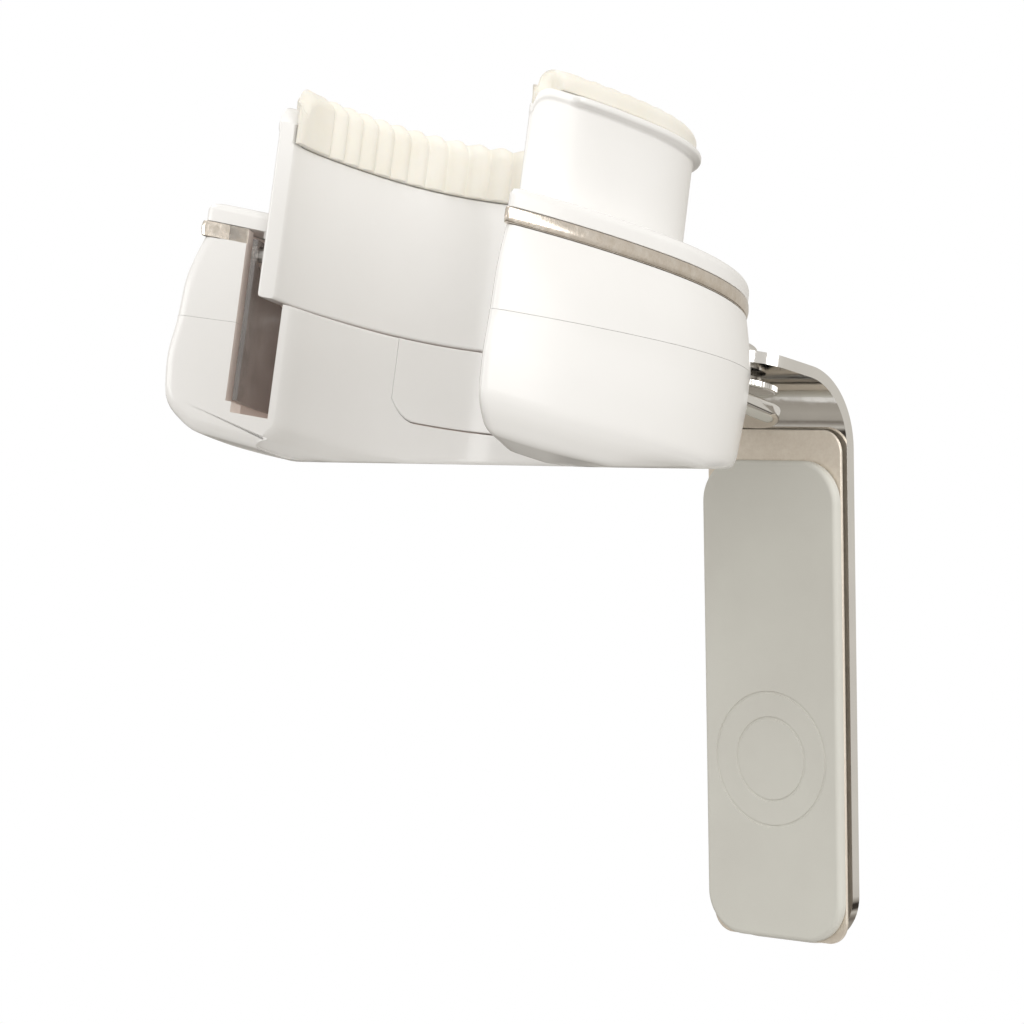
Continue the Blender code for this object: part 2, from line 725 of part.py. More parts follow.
def pivot_in_wall_frame():
    tilt = radians(YOKE_TILT)
    return Vector((0.0, -YOKE_REACH + PIVOT_Y * cos(tilt), YOKE_HEIGHT - PIVOT_Y * sin(tilt)))


def rivet_shape(name, z, radius, front, back):
    piece = stack(name, 0.0, 0.0, [(radius, front), (radius, back)], 18)
    piece.data.transform(Matrix.Rotation(radians(-90), 4, "X"))
    piece.data.transform(Matrix.Translation((0.0, 0.0, z * MM)))
    return piece


def upright(name, outline, front, back, bevel=0.0):
    """An outline in X and Z extruded along Y, bevelled on its front face."""
    piece = prism(name, outline, -back, -front, bevel)
    piece.data.transform(Matrix.Rotation(radians(90), 4, "X"))
    return piece


def make_backing_plate():
    outline = rounded_rectangle(PLATE_HALF, PLATE_LOW, PLATE_TOP, PLATE_CORNER_R)
    plate = upright("backing_plate", outline, *PLATE_Y)
    for index, z in enumerate(RIVET_Z):
        boolean(plate, rivet_shape("plate_rivet_way_%d" % index, z, RIVET_R + CLEAR, -4.0, 1.0))
    return plate


def swivel_way(name, low, high):
    return stack(name, 0.0, PIVOT_Y, [(SCREW_R + CLEAR, low), (SCREW_R + CLEAR, high)], 24)


def make_swivel():
    """Disc, washer and screw that clamp the tongue to the bracket's short leg."""
    foot, flange_top, neck_top = DISC_Z
    disc = stack("pivot_disc", 0.0, PIVOT_Y, [
        (DISC_R - 0.4, foot), (DISC_R, foot + 0.3), (DISC_R, flange_top - 0.3),
        (DISC_R - 0.4, flange_top), (DISC_NECK_R, flange_top), (DISC_NECK_R, neck_top)], 32)
    boolean(disc, swivel_way("disc_way", foot - 1.8, neck_top + 1.9))
    top = SHORT_LEG_TOP + CLEAR
    washer = stack("pivot_washer", 0.0, PIVOT_Y, [(WASHER_R, top), (WASHER_R, top + WASHER_THICK)], 28)
    boolean(washer, swivel_way("washer_way", top - 1, top + 2))
    head = top + WASHER_THICK + CLEAR
    rim, crown = SCREW_HEAD
    screw = stack("pivot_screw", 0.0, PIVOT_Y, [
        (SCREW_R, TONGUE_LOW + SCREW_FOOT), (SCREW_R, head), (SCREW_HEAD_R, head),
        (SCREW_HEAD_R, head + rim), (SCREW_HEAD_R - 1.2, head + crown)], 24)
    socket = [(SOCKET_R, head + 1.0), (SOCKET_R, head + crown + 1.4)]
    boolean(screw, stack("screw_socket", 0.0, PIVOT_Y, socket, 6))
    return disc, washer, screw


def main():
    for old in list(bpy.data.objects):
        bpy.data.objects.remove(old)
    white = material("white_plastic", (0.86, 0.85, 0.83), 0.22)
    cream = material("cream_elastomer", (0.80, 0.77, 0.67), 0.55)
    grey = material("grey_elastomer", (0.50, 0.49, 0.44), 0.6)
    chrome = material("chrome", (0.80, 0.79, 0.77), 0.08, metallic=1.0)
    satin = material("satin_metal", (0.58, 0.52, 0.43), 0.42, metallic=0.9)
    steel = material("steel", (0.55, 0.55, 0.55), 0.3, metallic=1.0)
    smoke = material("clear_plastic", (0.10, 0.10, 0.11), 0.15, alpha=0.6)

    scene = bpy.context.scene.collection
    swivel = bpy.data.objects.new("swivel_axis", None)
    swivel.location = pivot_in_wall_frame() * MM
    swivel.rotation_euler = (radians(-YOKE_TILT), 0.0, 0.0)
    cradle = bpy.data.objects.new("cradle_axis", None)
    cradle.parent = swivel
    cradle.location = (0.0, -PIVOT_Y * MM, 0.0)
    gate_axis = bpy.data.objects.new("gate_axis", None)
    gate_axis.parent = swivel
    gate_axis.location = (0.0, (GATE_Y - PIVOT_Y) * MM, 0.0)
    for empty in (swivel, cradle, gate_axis):
        scene.objects.link(empty)
    to_yoke = (0.0, -PIVOT_Y, 0.0)
    to_gate = (0.0, -GATE_Y, 0.0)

    shells = [make_lower_shell(), make_upper_shell(), make_top_cap(), make_access_panel()]
    for shell in shells:
        finish(shell, white, swivel, to_yoke)
    finish(make_trim_band(), chrome, swivel, to_yoke)
    finish(make_tongue(), chrome, swivel, to_yoke)
    finish(make_tongue_plate(), steel, swivel, to_yoke)
    for side in CLAMP_SPOTS:
        finish(make_tongue_screw(side), steel, swivel, to_yoke)
    for name, (x, y) in SHELL_SCREWS.items():
        finish(make_shell_screw(name, x, y), steel, swivel, to_yoke)
    for name in SPRING_SPOTS:
        finish(make_post(name), white, swivel, to_yoke)
        finish(make_spring(name), steel, swivel, to_yoke)
        finish(make_foot(name), white, cradle)
    finish(make_sleeve(), white, cradle)
    finish(make_cradle_pad(), cream, cradle)
    for side in ("left", "right"):
        finish(make_drive_pin(side), steel, cradle)
        finish(make_gate(side), smoke, gate_axis, to_gate)

    stationary = bpy.data.objects.new("bracket_pivot", None)
    stationary.location = swivel.location
    stationary.rotation_euler = swivel.rotation_euler
    scene.objects.link(stationary)
    for piece in make_swivel():
        finish(piece, chrome, stationary, to_yoke)

    finish(make_bracket(), chrome, None)
    finish(make_backing_plate(), satin, None)
    grip = rounded_rectangle(PAD_HALF, GRIP_LOW, GRIP_TOP, GRIP_CORNER_R)
    finish(upright("grip_pad", grip, *GRIP_Y, bevel=GRIP_BEVEL), grey, None)
    for number, z in enumerate(RIVET_Z, start=1):
        finish(rivet_shape("rivet_%d" % number, z, RIVET_R, PLATE_Y[0], RIVET_BACK), steel, None)
    place_cutters()


def place_cutters():
    """A cutter rides with the piece that it cuts."""
    for piece in list(bpy.data.objects):
        for modifier in piece.modifiers:
            tool = modifier.object
            if piece.parent is not None:
                tool.parent = piece.parent
                tool.location = piece.location


main()
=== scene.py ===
"""Looks of the wall yoke: fine shells, ribbed cradle pad, chrome bracket, materials, light and camera.

Lengths are in millimetres in the yoke's own frame or the wall frame, and become metres in mesh().
"""
import json
from functools import lru_cache
from math import atan2, cos, hypot, pi, radians, sin, sqrt, tan

import bmesh
import bpy
from mathutils import Matrix, Vector


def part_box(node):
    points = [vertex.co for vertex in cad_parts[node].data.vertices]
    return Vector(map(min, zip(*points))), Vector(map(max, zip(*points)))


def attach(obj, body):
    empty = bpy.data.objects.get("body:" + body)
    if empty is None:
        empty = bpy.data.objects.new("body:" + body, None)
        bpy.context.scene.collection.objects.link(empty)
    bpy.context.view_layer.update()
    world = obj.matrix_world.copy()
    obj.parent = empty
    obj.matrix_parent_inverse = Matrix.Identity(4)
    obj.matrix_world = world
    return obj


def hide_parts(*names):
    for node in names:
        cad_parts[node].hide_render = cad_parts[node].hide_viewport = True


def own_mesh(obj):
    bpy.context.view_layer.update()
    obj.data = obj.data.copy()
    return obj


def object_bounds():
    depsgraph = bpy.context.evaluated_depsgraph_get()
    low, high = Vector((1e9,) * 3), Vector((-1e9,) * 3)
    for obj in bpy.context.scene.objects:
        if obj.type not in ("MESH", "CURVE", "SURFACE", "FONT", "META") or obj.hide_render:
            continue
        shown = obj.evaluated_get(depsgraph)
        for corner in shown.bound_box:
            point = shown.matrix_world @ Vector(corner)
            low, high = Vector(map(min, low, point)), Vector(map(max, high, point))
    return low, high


MM = 0.001
CLEAR = 0.3

# Plan shapes of the yoke, as in the CAD: half-width, depth behind, centre y, exponent, depth in front.
CRADLE = (27.3, 32.5, 0.0, 2.5, 32.5)
HOUSING = (35.6, 51.9, 3.3, 2.08, 68.5)
BELLY = (36.4, 51.2, 3.3, 2.08, 72.0)
TIP = (25.5, -14.9)
FLARE = radians(24.5)

# Cradle: sleeve, rim bead, the pad's seat, the pad and its ribs. Offsets run outwards from a plan.
SLEEVE_WALL, SLEEVE_TOP = 2.2, 31.6
RIM_LOW, RIM_PROUD, RIM_START = 30.4, 1.3, 0.15
SEAT_LOW, SEAT_IN = 25.4, 0.9
PAD_TOP, PAD_OUT = 35.2, 3.3
RIB_PITCH, RIB_DEPTH, RIB_POWER, SMOOTH_END = 3.7, 0.95, 0.75, 7.0

# Housing: metal band with the hairline beside it, cap, parting line, walls, rising floor, inner wall.
BAND_LOW, BAND_TOP, SEAM = 8.2, 10.6, 0.12
BAND_BACK, BAND_WRAP, BAND_WRAP_RUN = -0.9, -4.0, 0.9
CAP_TOP = 14.0
PART_Z, PART_SLOPE, PART_GAP = -3.4, 0.06, 0.02
BULGE, WALL, END_WEB = 1.8, 1.8, 3.0
FLOOR, FLOOR_TOP, FLOOR_THICK = -24.6, -22.2, 2.4
FLOOR_RISE, FLOOR_RISE_Y = 0.165, -6.0
INNER_TOP, INNER_FACE, INNER_BACK = -0.35, -1.5, -0.3
SCREW_SPOTS = ((-23.5, 36.0), (23.5, 36.0), (-14.0, 47.0), (14.0, 47.0))
SCREW_HEAD_BORE, SCREW_BORE, SCREW_HEAD_DEPTH = 2.7, 1.5, 1.9

# Access panel in the inner wall, and the gap round it; PANEL_PATH is roughly that wall's length.
PANEL_END_Y, PANEL_LOW, PANEL_RISE, PANEL_TURN_Y = 12.8, -13.8, 3.4, 17.5
PANEL_GAP, PANEL_WAY_TOP, PANEL_PATH = 0.25, 8.0, 130.0

# Ways cut into the shells; each reaches above them to a height of its own.
RECESS_OUT, RECESS_LOW, RECESS_PAST = 4.1, -19.0, 4.0
CHAMBER_TOP, RECESS_TOP, GATE_WAY_TOP = 30.0, 30.5, 31.0
GATE_SLOT, GATE_SLOT_ANGLES = (29.6, 33.7), (48.0, 67.0)
TONGUE_WAY_Y = (47.0, 62.0)

# Arm ends: what is trimmed from or added to the CAD's, the bow of the underside, the round tips.
HOUSING_TRIM, SLEEVE_REACH, PAD_REACH = 0.5, 0.9, 1.6
BOW, BOW_RUN = 1.0, 12.0
UNDERSIDE_TOP, UNDERSIDE_BLEND = -13.0, 10.0
TIP_DROOP, TIP_PLAIN, TIP_BLEND, TIP_OUT = 3.0, 1.5, 4.0, 0.0

# Gates: axis, radius, extent in degrees from the front, and the track of the cradle's pin.
GATE_Y, GATE_R, GATE_THICK = -3.1, 32.5, 0.8
GATE_LOW, GATE_TOP = -17.0, 9.2
GATE_START, GATE_END, GATE_TURN = 60.0, 110.0, 42.0
PIN_ANGLE, PIN_Z, PIN_WAY, TRAVEL = 64.0, 7.0, 1.5, 12.0

# Swivel: bore, tongue with its finger, and the knurled disc.
PIVOT_Y, PIVOT_BORE = 70.0, 2.7
TONGUE_HALF, TONGUE_LOW, TONGUE_TOP, TONGUE_END = 7.2, -3.4, 1.5, 81.5
TONGUE_STATIONS = (50.8, 56.0, 60.0, 64.0, 68.0, 72.0)
FINGER_Y, FINGER_LOW, FINGER_DROOP = 62.0, -1.9, 1.3
TEETH, PER_TOOTH, TOOTH_DEPTH = 84, 4, 0.13

# Wall bracket, in the wall frame; faces are distances from the wall.
STRIP_HALF, STRIP_THICK, BEND_R = 15.0, 2.0, 15.0
CORNER_Z, STRIP_LOW, LOW_R = 56.1, -43.5, 9.0
SHORT_FRONT, SHORT_R = 58.0, 8.0
RIVET_BORE = 2.3
PLATE = dict(half=14.6, low=-43.0, high=47.4, radius=4.0)
PLATE_FACES = (2.8, 3.4)
GRIP = dict(half=14.7, low=-42.8, high=42.0, radius=7.5)
GRIP_FACES = (3.55, 5.4)
EMBLEM_Z, EMBLEM_RADII = -10.9, (11.9, 11.9 * 0.62)
GROOVE_WIDTH, GROOVE_FLOOR, GROOVE_TOP = 0.42, 5.2, 6.0

# Camera: where it stands in the wall frame, and how it is turned.
CAMERA_AT = (372.4, -497.7, 67.3)
CAMERA_AZIMUTH, CAMERA_ELEVATION, CAMERA_ROLL = 41.28, 3.12, -1.04
CAMERA_LENS, SENSOR_WIDTH = 123.05, 36.0
CLIP_START, CLIP_END = 0.01, 50.0

# Softboxes: name, place and size in metres, power, and whether the pieces mirror them.
SOFTBOXES = (("key", (-0.9, -1.3, 1.1), (1.0, 1.0), 5.0, False),
             ("front", (1.0, -1.25, 0.35), (0.9, 0.9), 8.2, True),
             ("side", (1.5, 0.35, 0.5), (0.9, 1.2), 8.5, True),
             ("top", (0.1, -0.2, 1.7), (1.2, 1.2), 6.0, True))
LIGHTS_AIM = (0.0, -0.06, 0.03)

# Floor: how far below the part in mm, radius in metres. Strength of the room's light.
FLOOR_BELOW, FLOOR_RADIUS = 1500.0, 1.2
ROOM_LIGHT = 0.70

# The room that the pieces mirror: colour by height (0 below, 1 overhead), and by direction
# (0.5 is +Y, 0.75 is +X, counted round towards -Y).
ROOM_BY_HEIGHT = ((0.0, (0.36, 0.33, 0.29)), (0.15, (0.62, 0.59, 0.54)), (0.20, (0.58, 0.55, 0.50)),
                  (0.215, (0.26, 0.235, 0.21)), (0.235, (0.46, 0.43, 0.39)), (0.262, (0.92, 0.90, 0.86)),
                  (0.277, (0.50, 0.47, 0.43)), (0.292, (0.08, 0.07, 0.06)), (0.34, (0.06, 0.05, 0.045)),
                  (0.37, (0.50, 0.47, 0.43)), (0.42, (1.0, 0.98, 0.94)), (1.0, (1.0, 1.0, 1.0)))
ROOM_BY_TURN = ((0.0, (1.0, 0.99, 0.975)), (0.48, (0.80, 0.77, 0.72)), (0.58, (0.90, 0.88, 0.84)),
                (0.66, (1.0, 0.985, 0.96)), (1.0, (1.0, 0.99, 0.975)))

# How finely the meshes are divided, and how much closer the stations lie at the arm ends.
DENSE, EVEN, COARSE = 1800, 110, 70
END_CROWDING, END_STEPS = 0.03, 5
SLEEVE_COLUMNS, PAD_COLUMNS, GATE_COLUMNS, TRACK_STEPS = 220, 520, 60, 200
PANEL_SEARCH, PANEL_COLUMNS = 600, 64
CORNER_STEPS, LEG_STEPS, BEND_STEPS = 16, 24, 40

# Shading: the angle of a sharp edge, the range that noise fills, and the Mix node's colour sockets.
SHARP_ANGLE = 38
NOISE_LOW, NOISE_HIGH = 0.3, 0.7
MIX_FACTOR, MIX_A, MIX_B, MIX_RESULT = 0, 6, 7, 2

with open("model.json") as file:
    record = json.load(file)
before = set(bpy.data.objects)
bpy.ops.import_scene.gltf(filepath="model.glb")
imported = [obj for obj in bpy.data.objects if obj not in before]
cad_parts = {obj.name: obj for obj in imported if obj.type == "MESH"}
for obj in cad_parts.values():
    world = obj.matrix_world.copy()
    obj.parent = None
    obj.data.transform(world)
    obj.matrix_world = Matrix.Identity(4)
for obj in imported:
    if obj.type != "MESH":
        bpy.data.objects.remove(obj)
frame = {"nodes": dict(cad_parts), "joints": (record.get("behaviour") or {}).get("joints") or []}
CAD_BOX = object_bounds()
swivel = next(j for j in frame["joints"] if j["name"] == "swivel")
AXIS = Vector(swivel["axis"])
BACK = AXIS.cross(Vector((1.0, 0.0, 0.0)))
ORIGIN = Vector(swivel["pos_m"]) - BACK * (PIVOT_Y * MM)
YOKE = Matrix.Translation(ORIGIN) @ Matrix.Rotation(-atan2(AXIS.y, AXIS.z), 4, "X")
WALL_FRAME = Matrix.Identity(4)
UPRIGHT = Matrix.Rotation(radians(90), 4, "X")


# ---------------------------------------------------------------- curves in plan

def plan_point(plan, angle, offset):
    """Superellipse point pushed out along its normal; angle 0 is the back."""
    half_x, half_y, centre_y, power, front_half_y = plan
    sx, cy = sin(angle), cos(angle)
    if cy < 0:
        half_y = front_half_y
    ux = abs(sx) ** (2 / power) * (1 if sx >= 0 else -1)
    uy = abs(cy) ** (2 / power) * (1 if cy >= 0 else -1)
    nx = abs(ux) ** (power - 1) / half_x * (1 if ux >= 0 else -1)
    ny = abs(uy) ** (power - 1) / half_y * (1 if uy >= 0 else -1)
    size = hypot(nx, ny)
    return half_x * ux + offset * nx / size, centre_y + half_y * uy + offset * ny / size


def inside_arm(x, y):
    """How far a point lies behind the arm's slanted end face."""
    return (abs(x) - TIP[0]) * cos(FLARE) + (y - TIP[1]) * sin(FLARE)


def half_path(plan, offset, inset):
    """From the middle of the back to the end face on the right, inset from that face."""
    points = [plan_point(plan, 0.0, offset)]
    for step in range(1, DENSE + 1):
        angle = pi * step / DENSE
        point = plan_point(plan, angle, offset)
        depth = inside_arm(*point) - inset
        if angle > pi / 2 and depth < 0:
            last = points[-1]
            last_depth = inside_arm(*last) - inset
            share = last_depth / (last_depth - depth)
            points.append((last[0] + share * (point[0] - last[0]),
                           last[1] + share * (point[1] - last[1])))
            break
        points.append(point)
    return points


def resample(points, fractions):
    """Points of a polyline at fractions of its length."""
    lengths = [0.0]
    for a, b in zip(points, points[1:]):
        lengths.append(lengths[-1] + hypot(b[0] - a[0], b[1] - a[1]))
    result, index = [], 0
    for fraction in fractions:
        target = fraction * lengths[-1]
        while index < len(lengths) - 2 and lengths[index + 1] < target:
            index += 1
        span = lengths[index + 1] - lengths[index]
        share = (target - lengths[index]) / span if span else 0.0
        a, b = points[index], points[index + 1]
        result.append((a[0] + share * (b[0] - a[0]), a[1] + share * (b[1] - a[1])))
    return result


def even_fractions(count=EVEN):
    """Closer together at the arm ends than round the back."""
    return [i / count + END_CROWDING * sin(-2 * pi * i / count) for i in range(count + 1)]


def c_path(plan, offset, inset, fractions):
    """The whole C from the left end face round the back to the right one."""
    right = half_path(plan, offset, inset)
    left = [(-x, y) for x, y in reversed(right[1:])]
    return resample(left + right, fractions)


def circle(cx, cy, radius, sides):
    turns = [2 * pi * i / sides for i in range(sides)]
    return [(cx + radius * cos(turn), cy + radius * sin(turn)) for turn in turns]


def arc(cx, cy, radius, start, end, steps):
    angles = [radians(start + (end - start) * i / steps) for i in range(steps + 1)]
    return [(cx + radius * cos(a), cy + radius * sin(a)) for a in angles]


# ---------------------------------------------------------------- meshes

def mesh(name, sections, place, closed=False):
    """Skin a row of point loops given in mm; the ends are filled unless the row closes on itself."""
    bm = bmesh.new()
    rows = [[bm.verts.new(place @ (Vector(p) * MM)) for p in section] for section in sections]
    pairs = list(zip(rows, rows[1:])) + ([(rows[-1], rows[0])] if closed else [])
    count = len(rows[0])
    for a, b in pairs:
        for i in range(count):
            j = (i + 1) % count
            bm.faces.new((a[i], a[j], b[j], b[i]))
    if not closed:
        bm.faces.new(rows[0])
        bm.faces.new(list(reversed(rows[-1])))
    bmesh.ops.recalc_face_normals(bm, faces=bm.faces)
    data = bpy.data.meshes.new(name)
    bm.to_mesh(data)
    bm.free()
    piece = bpy.data.objects.new(name, data)
    bpy.context.scene.collection.objects.link(piece)
    return piece


def fillet(loop, radii, steps=4):
    """Round the corners of a closed loop of 3-D points, each with its own radius."""
    result = []
    count = len(loop)
    for i, (point, radius) in enumerate(zip(loop, radii)):
        here = Vector(point)
        back, ahead = Vector(loop[i - 1]) - here, Vector(loop[(i + 1) % count]) - here
        if radius <= 0:
            result.append(here)
            continue
        start = here + back.normalized() * min(radius, 0.45 * back.length)
        end = here + ahead.normalized() * min(radius, 0.45 * ahead.length)
        for k in range(steps + 1):
            t = k / steps
            result.append(start * (1 - t) ** 2 + here * (2 * t * (1 - t)) + end * t ** 2)
    return result


def low_share(z):
    """1 on the underside and 0 well above it."""
    return min(max((UNDERSIDE_TOP - z) / UNDERSIDE_BLEND, 0.0), 1.0)


def end_lift(x, y, z):
    """The underside rises in a bow towards the end face."""
    depth = max(inside_arm(x, y), 0.0) if y < 0 else BOW_RUN
    return z + BOW * (1 - min(depth / BOW_RUN, 1.0)) ** 2 * low_share(z)


def ring(name, profile, end_radius=0.0, lifted=False, inset=0.0, fractions=None,
         inner_share=1.0, crest=None, middle=SLEEVE_WALL / 2):
    """Sweep (plan, offset, z, corner radius) points along the C, with rounded end faces.

    offset may be a function of the share of path and z one of (share of path, x, y). lifted
    bends the underside up at the ends, inner_share is how much of the end rounding the mouth
    side gets, crest is the height of a top edge to round too, and middle is the offset that
    parts the mouth side from the outer side."""
    def section(points, share, drawn=0.0):
        loop = []
        for (plan, _, z, _), (x, y) in zip(profile, points):
            height = z(share, x, y) if callable(z) else z
            if lifted:
                side_share = inner_share if plan is CRADLE else 1.0
                height = end_lift(x, y, height) + drawn * low_share(height) * side_share
            if crest is not None:
                height = min(height, crest - drawn)
            loop.append((x, y, height))
        return fillet(loop, [entry[3] for entry in profile])

    def tip(plan, offset, depth, drawn):
        out = offset(1.0) if callable(offset) else offset
        out += drawn * inner_share if plan is CRADLE and out < middle else -drawn
        return half_path(plan, out, inset + depth)[-1]

    fractions = fractions or even_fractions()
    columns = [varied_path(plan, offset, inset + end_radius, fractions) for plan, offset, _, _ in profile]
    rows = [section([column[i] for column in columns], share) for i, share in enumerate(fractions)]
    if end_radius:
        starts, ends = [], []
        for k in range(1, END_STEPS + 1):
            turn = pi / 2 * k / END_STEPS
            depth = end_radius * (1 - sin(turn))
            drawn = end_radius * (1 - cos(turn))
            tips = [tip(plan, offset, depth, drawn) for plan, offset, _, _ in profile]
            ends.append(section(tips, 1.0, drawn))
            starts.append(section([(-x, y) for x, y in tips], 0.0, drawn))
        rows = list(reversed(starts)) + rows + ends
    return mesh(name, rows, YOKE)


def varied_path(plan, offset, inset, fractions):
    """A path whose offset may change along it."""
    if not callable(offset):
        return c_path(plan, offset, inset, fractions)
    low = c_path(plan, 0.0, inset, fractions)
    high = c_path(plan, 1.0, inset, fractions)
    result = []
    for share, (x0, y0), (x1, y1) in zip(fractions, low, high):
        out = offset(share)
        result.append((x0 + (x1 - x0) * out, y0 + (y1 - y0) * out))
    return result


def stack(name, cx, cy, rings, sides, place=YOKE):
    """A turned piece from (radius, z) rings, lowest first."""
    sections = [[(x, y, z) for x, y in circle(cx, cy, r, sides)] for r, z in rings]
    return mesh(name, sections, place)


def polar(name, spans, radius_in, radius_out, mirror=1):
    """A curved strip about the gate axis from (angle, low, high) spans."""
    sections = []
    for angle, low, high in spans:
        sx, sy = mirror * sin(radians(angle)), -cos(radians(angle))
        sections.append([(r * sx, GATE_Y + r * sy, z) for r, z in
                         ((radius_in, low), (radius_out, low), (radius_out, high), (radius_in, high))])
    return mesh(name, sections, YOKE)


def block(name, x_half, y_range, z_range):
    """A box that is centred on X."""
    corners = [(-x_half, y_range[0]), (x_half, y_range[0]), (x_half, y_range[1]), (-x_half, y_range[1])]
    return mesh(name, [[(x, y, z) for x, y in corners] for z in z_range], YOKE)


def baked(piece):
    """Replace the mesh by what its modifiers make of it."""
    bpy.context.view_layer.update()
    graph = bpy.context.evaluated_depsgraph_get()
    data = bpy.data.meshes.new_from_object(piece.evaluated_get(graph))
    piece.modifiers.clear()
    piece.data = data
    return piece


def cut(piece, tools):
    """Cut with each tool in turn; the tools are used up. A painted tool leaves its paint in the cut."""
    for tool in tools:
        modifier = piece.modifiers.new("cut", "BOOLEAN")
        modifier.operation = "DIFFERENCE"
        modifier.solver = "EXACT"
        modifier.material_mode = "TRANSFER"
        modifier.object = tool
        baked(piece)
        bpy.data.objects.remove(tool)
    return piece


def soften(piece, width=0.25, segments=3, angle=50):
    """Break the sharp edges."""
    bevel = piece.modifiers.new("edges", "BEVEL")
    bevel.width = width * MM
    bevel.segments = segments
    bevel.limit_method = "ANGLE"
    bevel.angle_limit = radians(angle)
    bevel.use_clamp_overlap = True
    bevel.miter_outer = "MITER_ARC"
    return baked(piece)


def painted(piece, look):
    """Add a material; the first one covers the whole piece."""
    piece.data.materials.append(look)
    return piece


def finished(piece, body, look, slot, *nodes, sharp=SHARP_ANGLE):
    """Paint and shade a piece, attach it to its body and hide the CAD nodes that it stands for."""
    if look.name not in piece.data.materials:
        piece.data.materials.clear()
        piece.data.polygons.foreach_set("material_index", [0] * len(piece.data.polygons))
        painted(piece, look)
    piece.data.shade_smooth()
    piece.data.set_sharp_from_angle(angle=radians(sharp))
    weighted = piece.modifiers.new("normals", "WEIGHTED_NORMAL")
    weighted.keep_sharp = True
    weighted.weight = 60
    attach(piece, body)
    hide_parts(*nodes)


# ---------------------------------------------------------------- materials

class Look:
    """A Principled material with helpers for procedural detail, all in object space."""

    def __init__(self, name, colour, roughness, metallic=0.0):
        self.material = bpy.data.materials.new(name)
        self.material.use_nodes = True
        self.tree = self.material.node_tree
        self.shader = self.tree.nodes["Principled BSDF"]
        self.shader.inputs["Base Color"].default_value = (*colour, 1.0)
        self.shader.inputs["Roughness"].default_value = roughness
        self.shader.inputs["Metallic"].default_value = metallic
        self.place = self.tree.nodes.new("ShaderNodeTexCoord")
        self.normal = None

    def noise(self, size_mm, detail=3.0, stretch=(1.0, 1.0, 1.0), rough=0.5):
        """Noise whose features are about size_mm across, stretched along axes."""
        scale = self.tree.nodes.new("ShaderNodeMapping")
        scale.inputs["Scale"].default_value = [1.0 / s for s in stretch]
        noise = self.tree.nodes.new("ShaderNodeTexNoise")
        noise.inputs["Scale"].default_value = 1.0 / (size_mm * MM)
        noise.inputs["Detail"].default_value = detail
        noise.inputs["Roughness"].default_value = rough
        self.tree.links.new(self.place.outputs["Object"], scale.inputs["Vector"])
        self.tree.links.new(scale.outputs["Vector"], noise.inputs["Vector"])
        return noise.outputs["Fac"]

    def spread(self, value, low, high):
        """Stretch a noise to run from low to high."""
        ramp = self.tree.nodes.new("ShaderNodeMapRange")
        ramp.inputs["From Min"].default_value = NOISE_LOW
        ramp.inputs["From Max"].default_value = NOISE_HIGH
        ramp.inputs["To Min"].default_value = low
        ramp.inputs["To Max"].default_value = high
        self.tree.links.new(value, ramp.inputs["Value"])
        return ramp.outputs["Result"]

    def vary_roughness(self, value, low, high):
        self.tree.links.new(self.spread(value, low, high), self.shader.inputs["Roughness"])

    def vary_colour(self, value, first, second):
        mix = self.tree.nodes.new("ShaderNodeMix")
        mix.data_type = "RGBA"
        mix.inputs[MIX_A].default_value = (*first, 1.0)
        mix.inputs[MIX_B].default_value = (*second, 1.0)
        self.tree.links.new(self.spread(value, 0.0, 1.0), mix.inputs[MIX_FACTOR])
        self.tree.links.new(mix.outputs[MIX_RESULT], self.shader.inputs["Base Color"])

    def bump(self, value, height_mm):
        """Add a layer of relief on top of the ones before."""
        node = self.tree.nodes.new("ShaderNodeBump")
        node.inputs["Distance"].default_value = height_mm * MM
        node.inputs["Strength"].default_value = 1.0
        self.tree.links.new(value, node.inputs["Height"])
        if self.normal is not None:
            self.tree.links.new(self.normal, node.inputs["Normal"])
        self.normal = node.outputs["Normal"]
        self.tree.links.new(self.normal, self.shader.inputs["Normal"])


def white_plastic(name="white_plastic"):
    look = Look(name, (0.875, 0.865, 0.845), 0.25)
    look.shader.inputs["IOR"].default_value = 1.49
    look.shader.inputs["Coat Weight"].default_value = 0.25
    look.shader.inputs["Coat Roughness"].default_value = 0.12
    look.vary_colour(look.noise(22.0, 4.0), (0.875, 0.867, 0.853), (0.855, 0.845, 0.828))
    look.vary_roughness(look.noise(5.0, 6.0, rough=0.65), 0.23, 0.27)
    look.bump(look.noise(3.2, 2.0), 0.004)
    look.bump(look.noise(0.35, 3.0), 0.003)
    return look.material


def cavity_painted_shade_and_glow():
    """Inside of the shells: painted shade in a darker, warmer colour, and a faint painted glow for light
    seeping through the thin walls.
    """
    look = Look("cavity_painted_shade_and_glow", (0.80, 0.73, 0.68), 0.4)
    # Painted glow: the hollows give off light though they are no lamp.
    look.shader.inputs["Emission Color"].default_value = (1.0, 0.80, 0.70, 1.0)
    look.shader.inputs["Emission Strength"].default_value = 0.09
    # Darker warm tones that vary at random: painted shade in the hollows.
    look.vary_colour(look.noise(6.0, 4.0), (0.81, 0.74, 0.69), (0.74, 0.66, 0.61))
    look.vary_roughness(look.noise(2.0, 5.0), 0.32, 0.5)
    look.bump(look.noise(1.2, 3.0), 0.008)
    return look.material


def cream_elastomer():
    look = Look("cream_elastomer", (0.90, 0.87, 0.77), 0.5)
    look.shader.inputs["Sheen Weight"].default_value = 0.15
    look.shader.inputs["Sheen Roughness"].default_value = 0.5
    look.shader.inputs["Subsurface Weight"].default_value = 0.15
    look.shader.inputs["Subsurface Radius"].default_value = (0.002, 0.0015, 0.001)
    look.vary_colour(look.noise(9.0, 5.0), (0.86, 0.835, 0.765), (0.82, 0.785, 0.70))
    look.vary_roughness(look.noise(1.6, 5.0), 0.42, 0.62)
    look.bump(look.noise(0.5, 4.0, rough=0.7), 0.03)
    return look.material


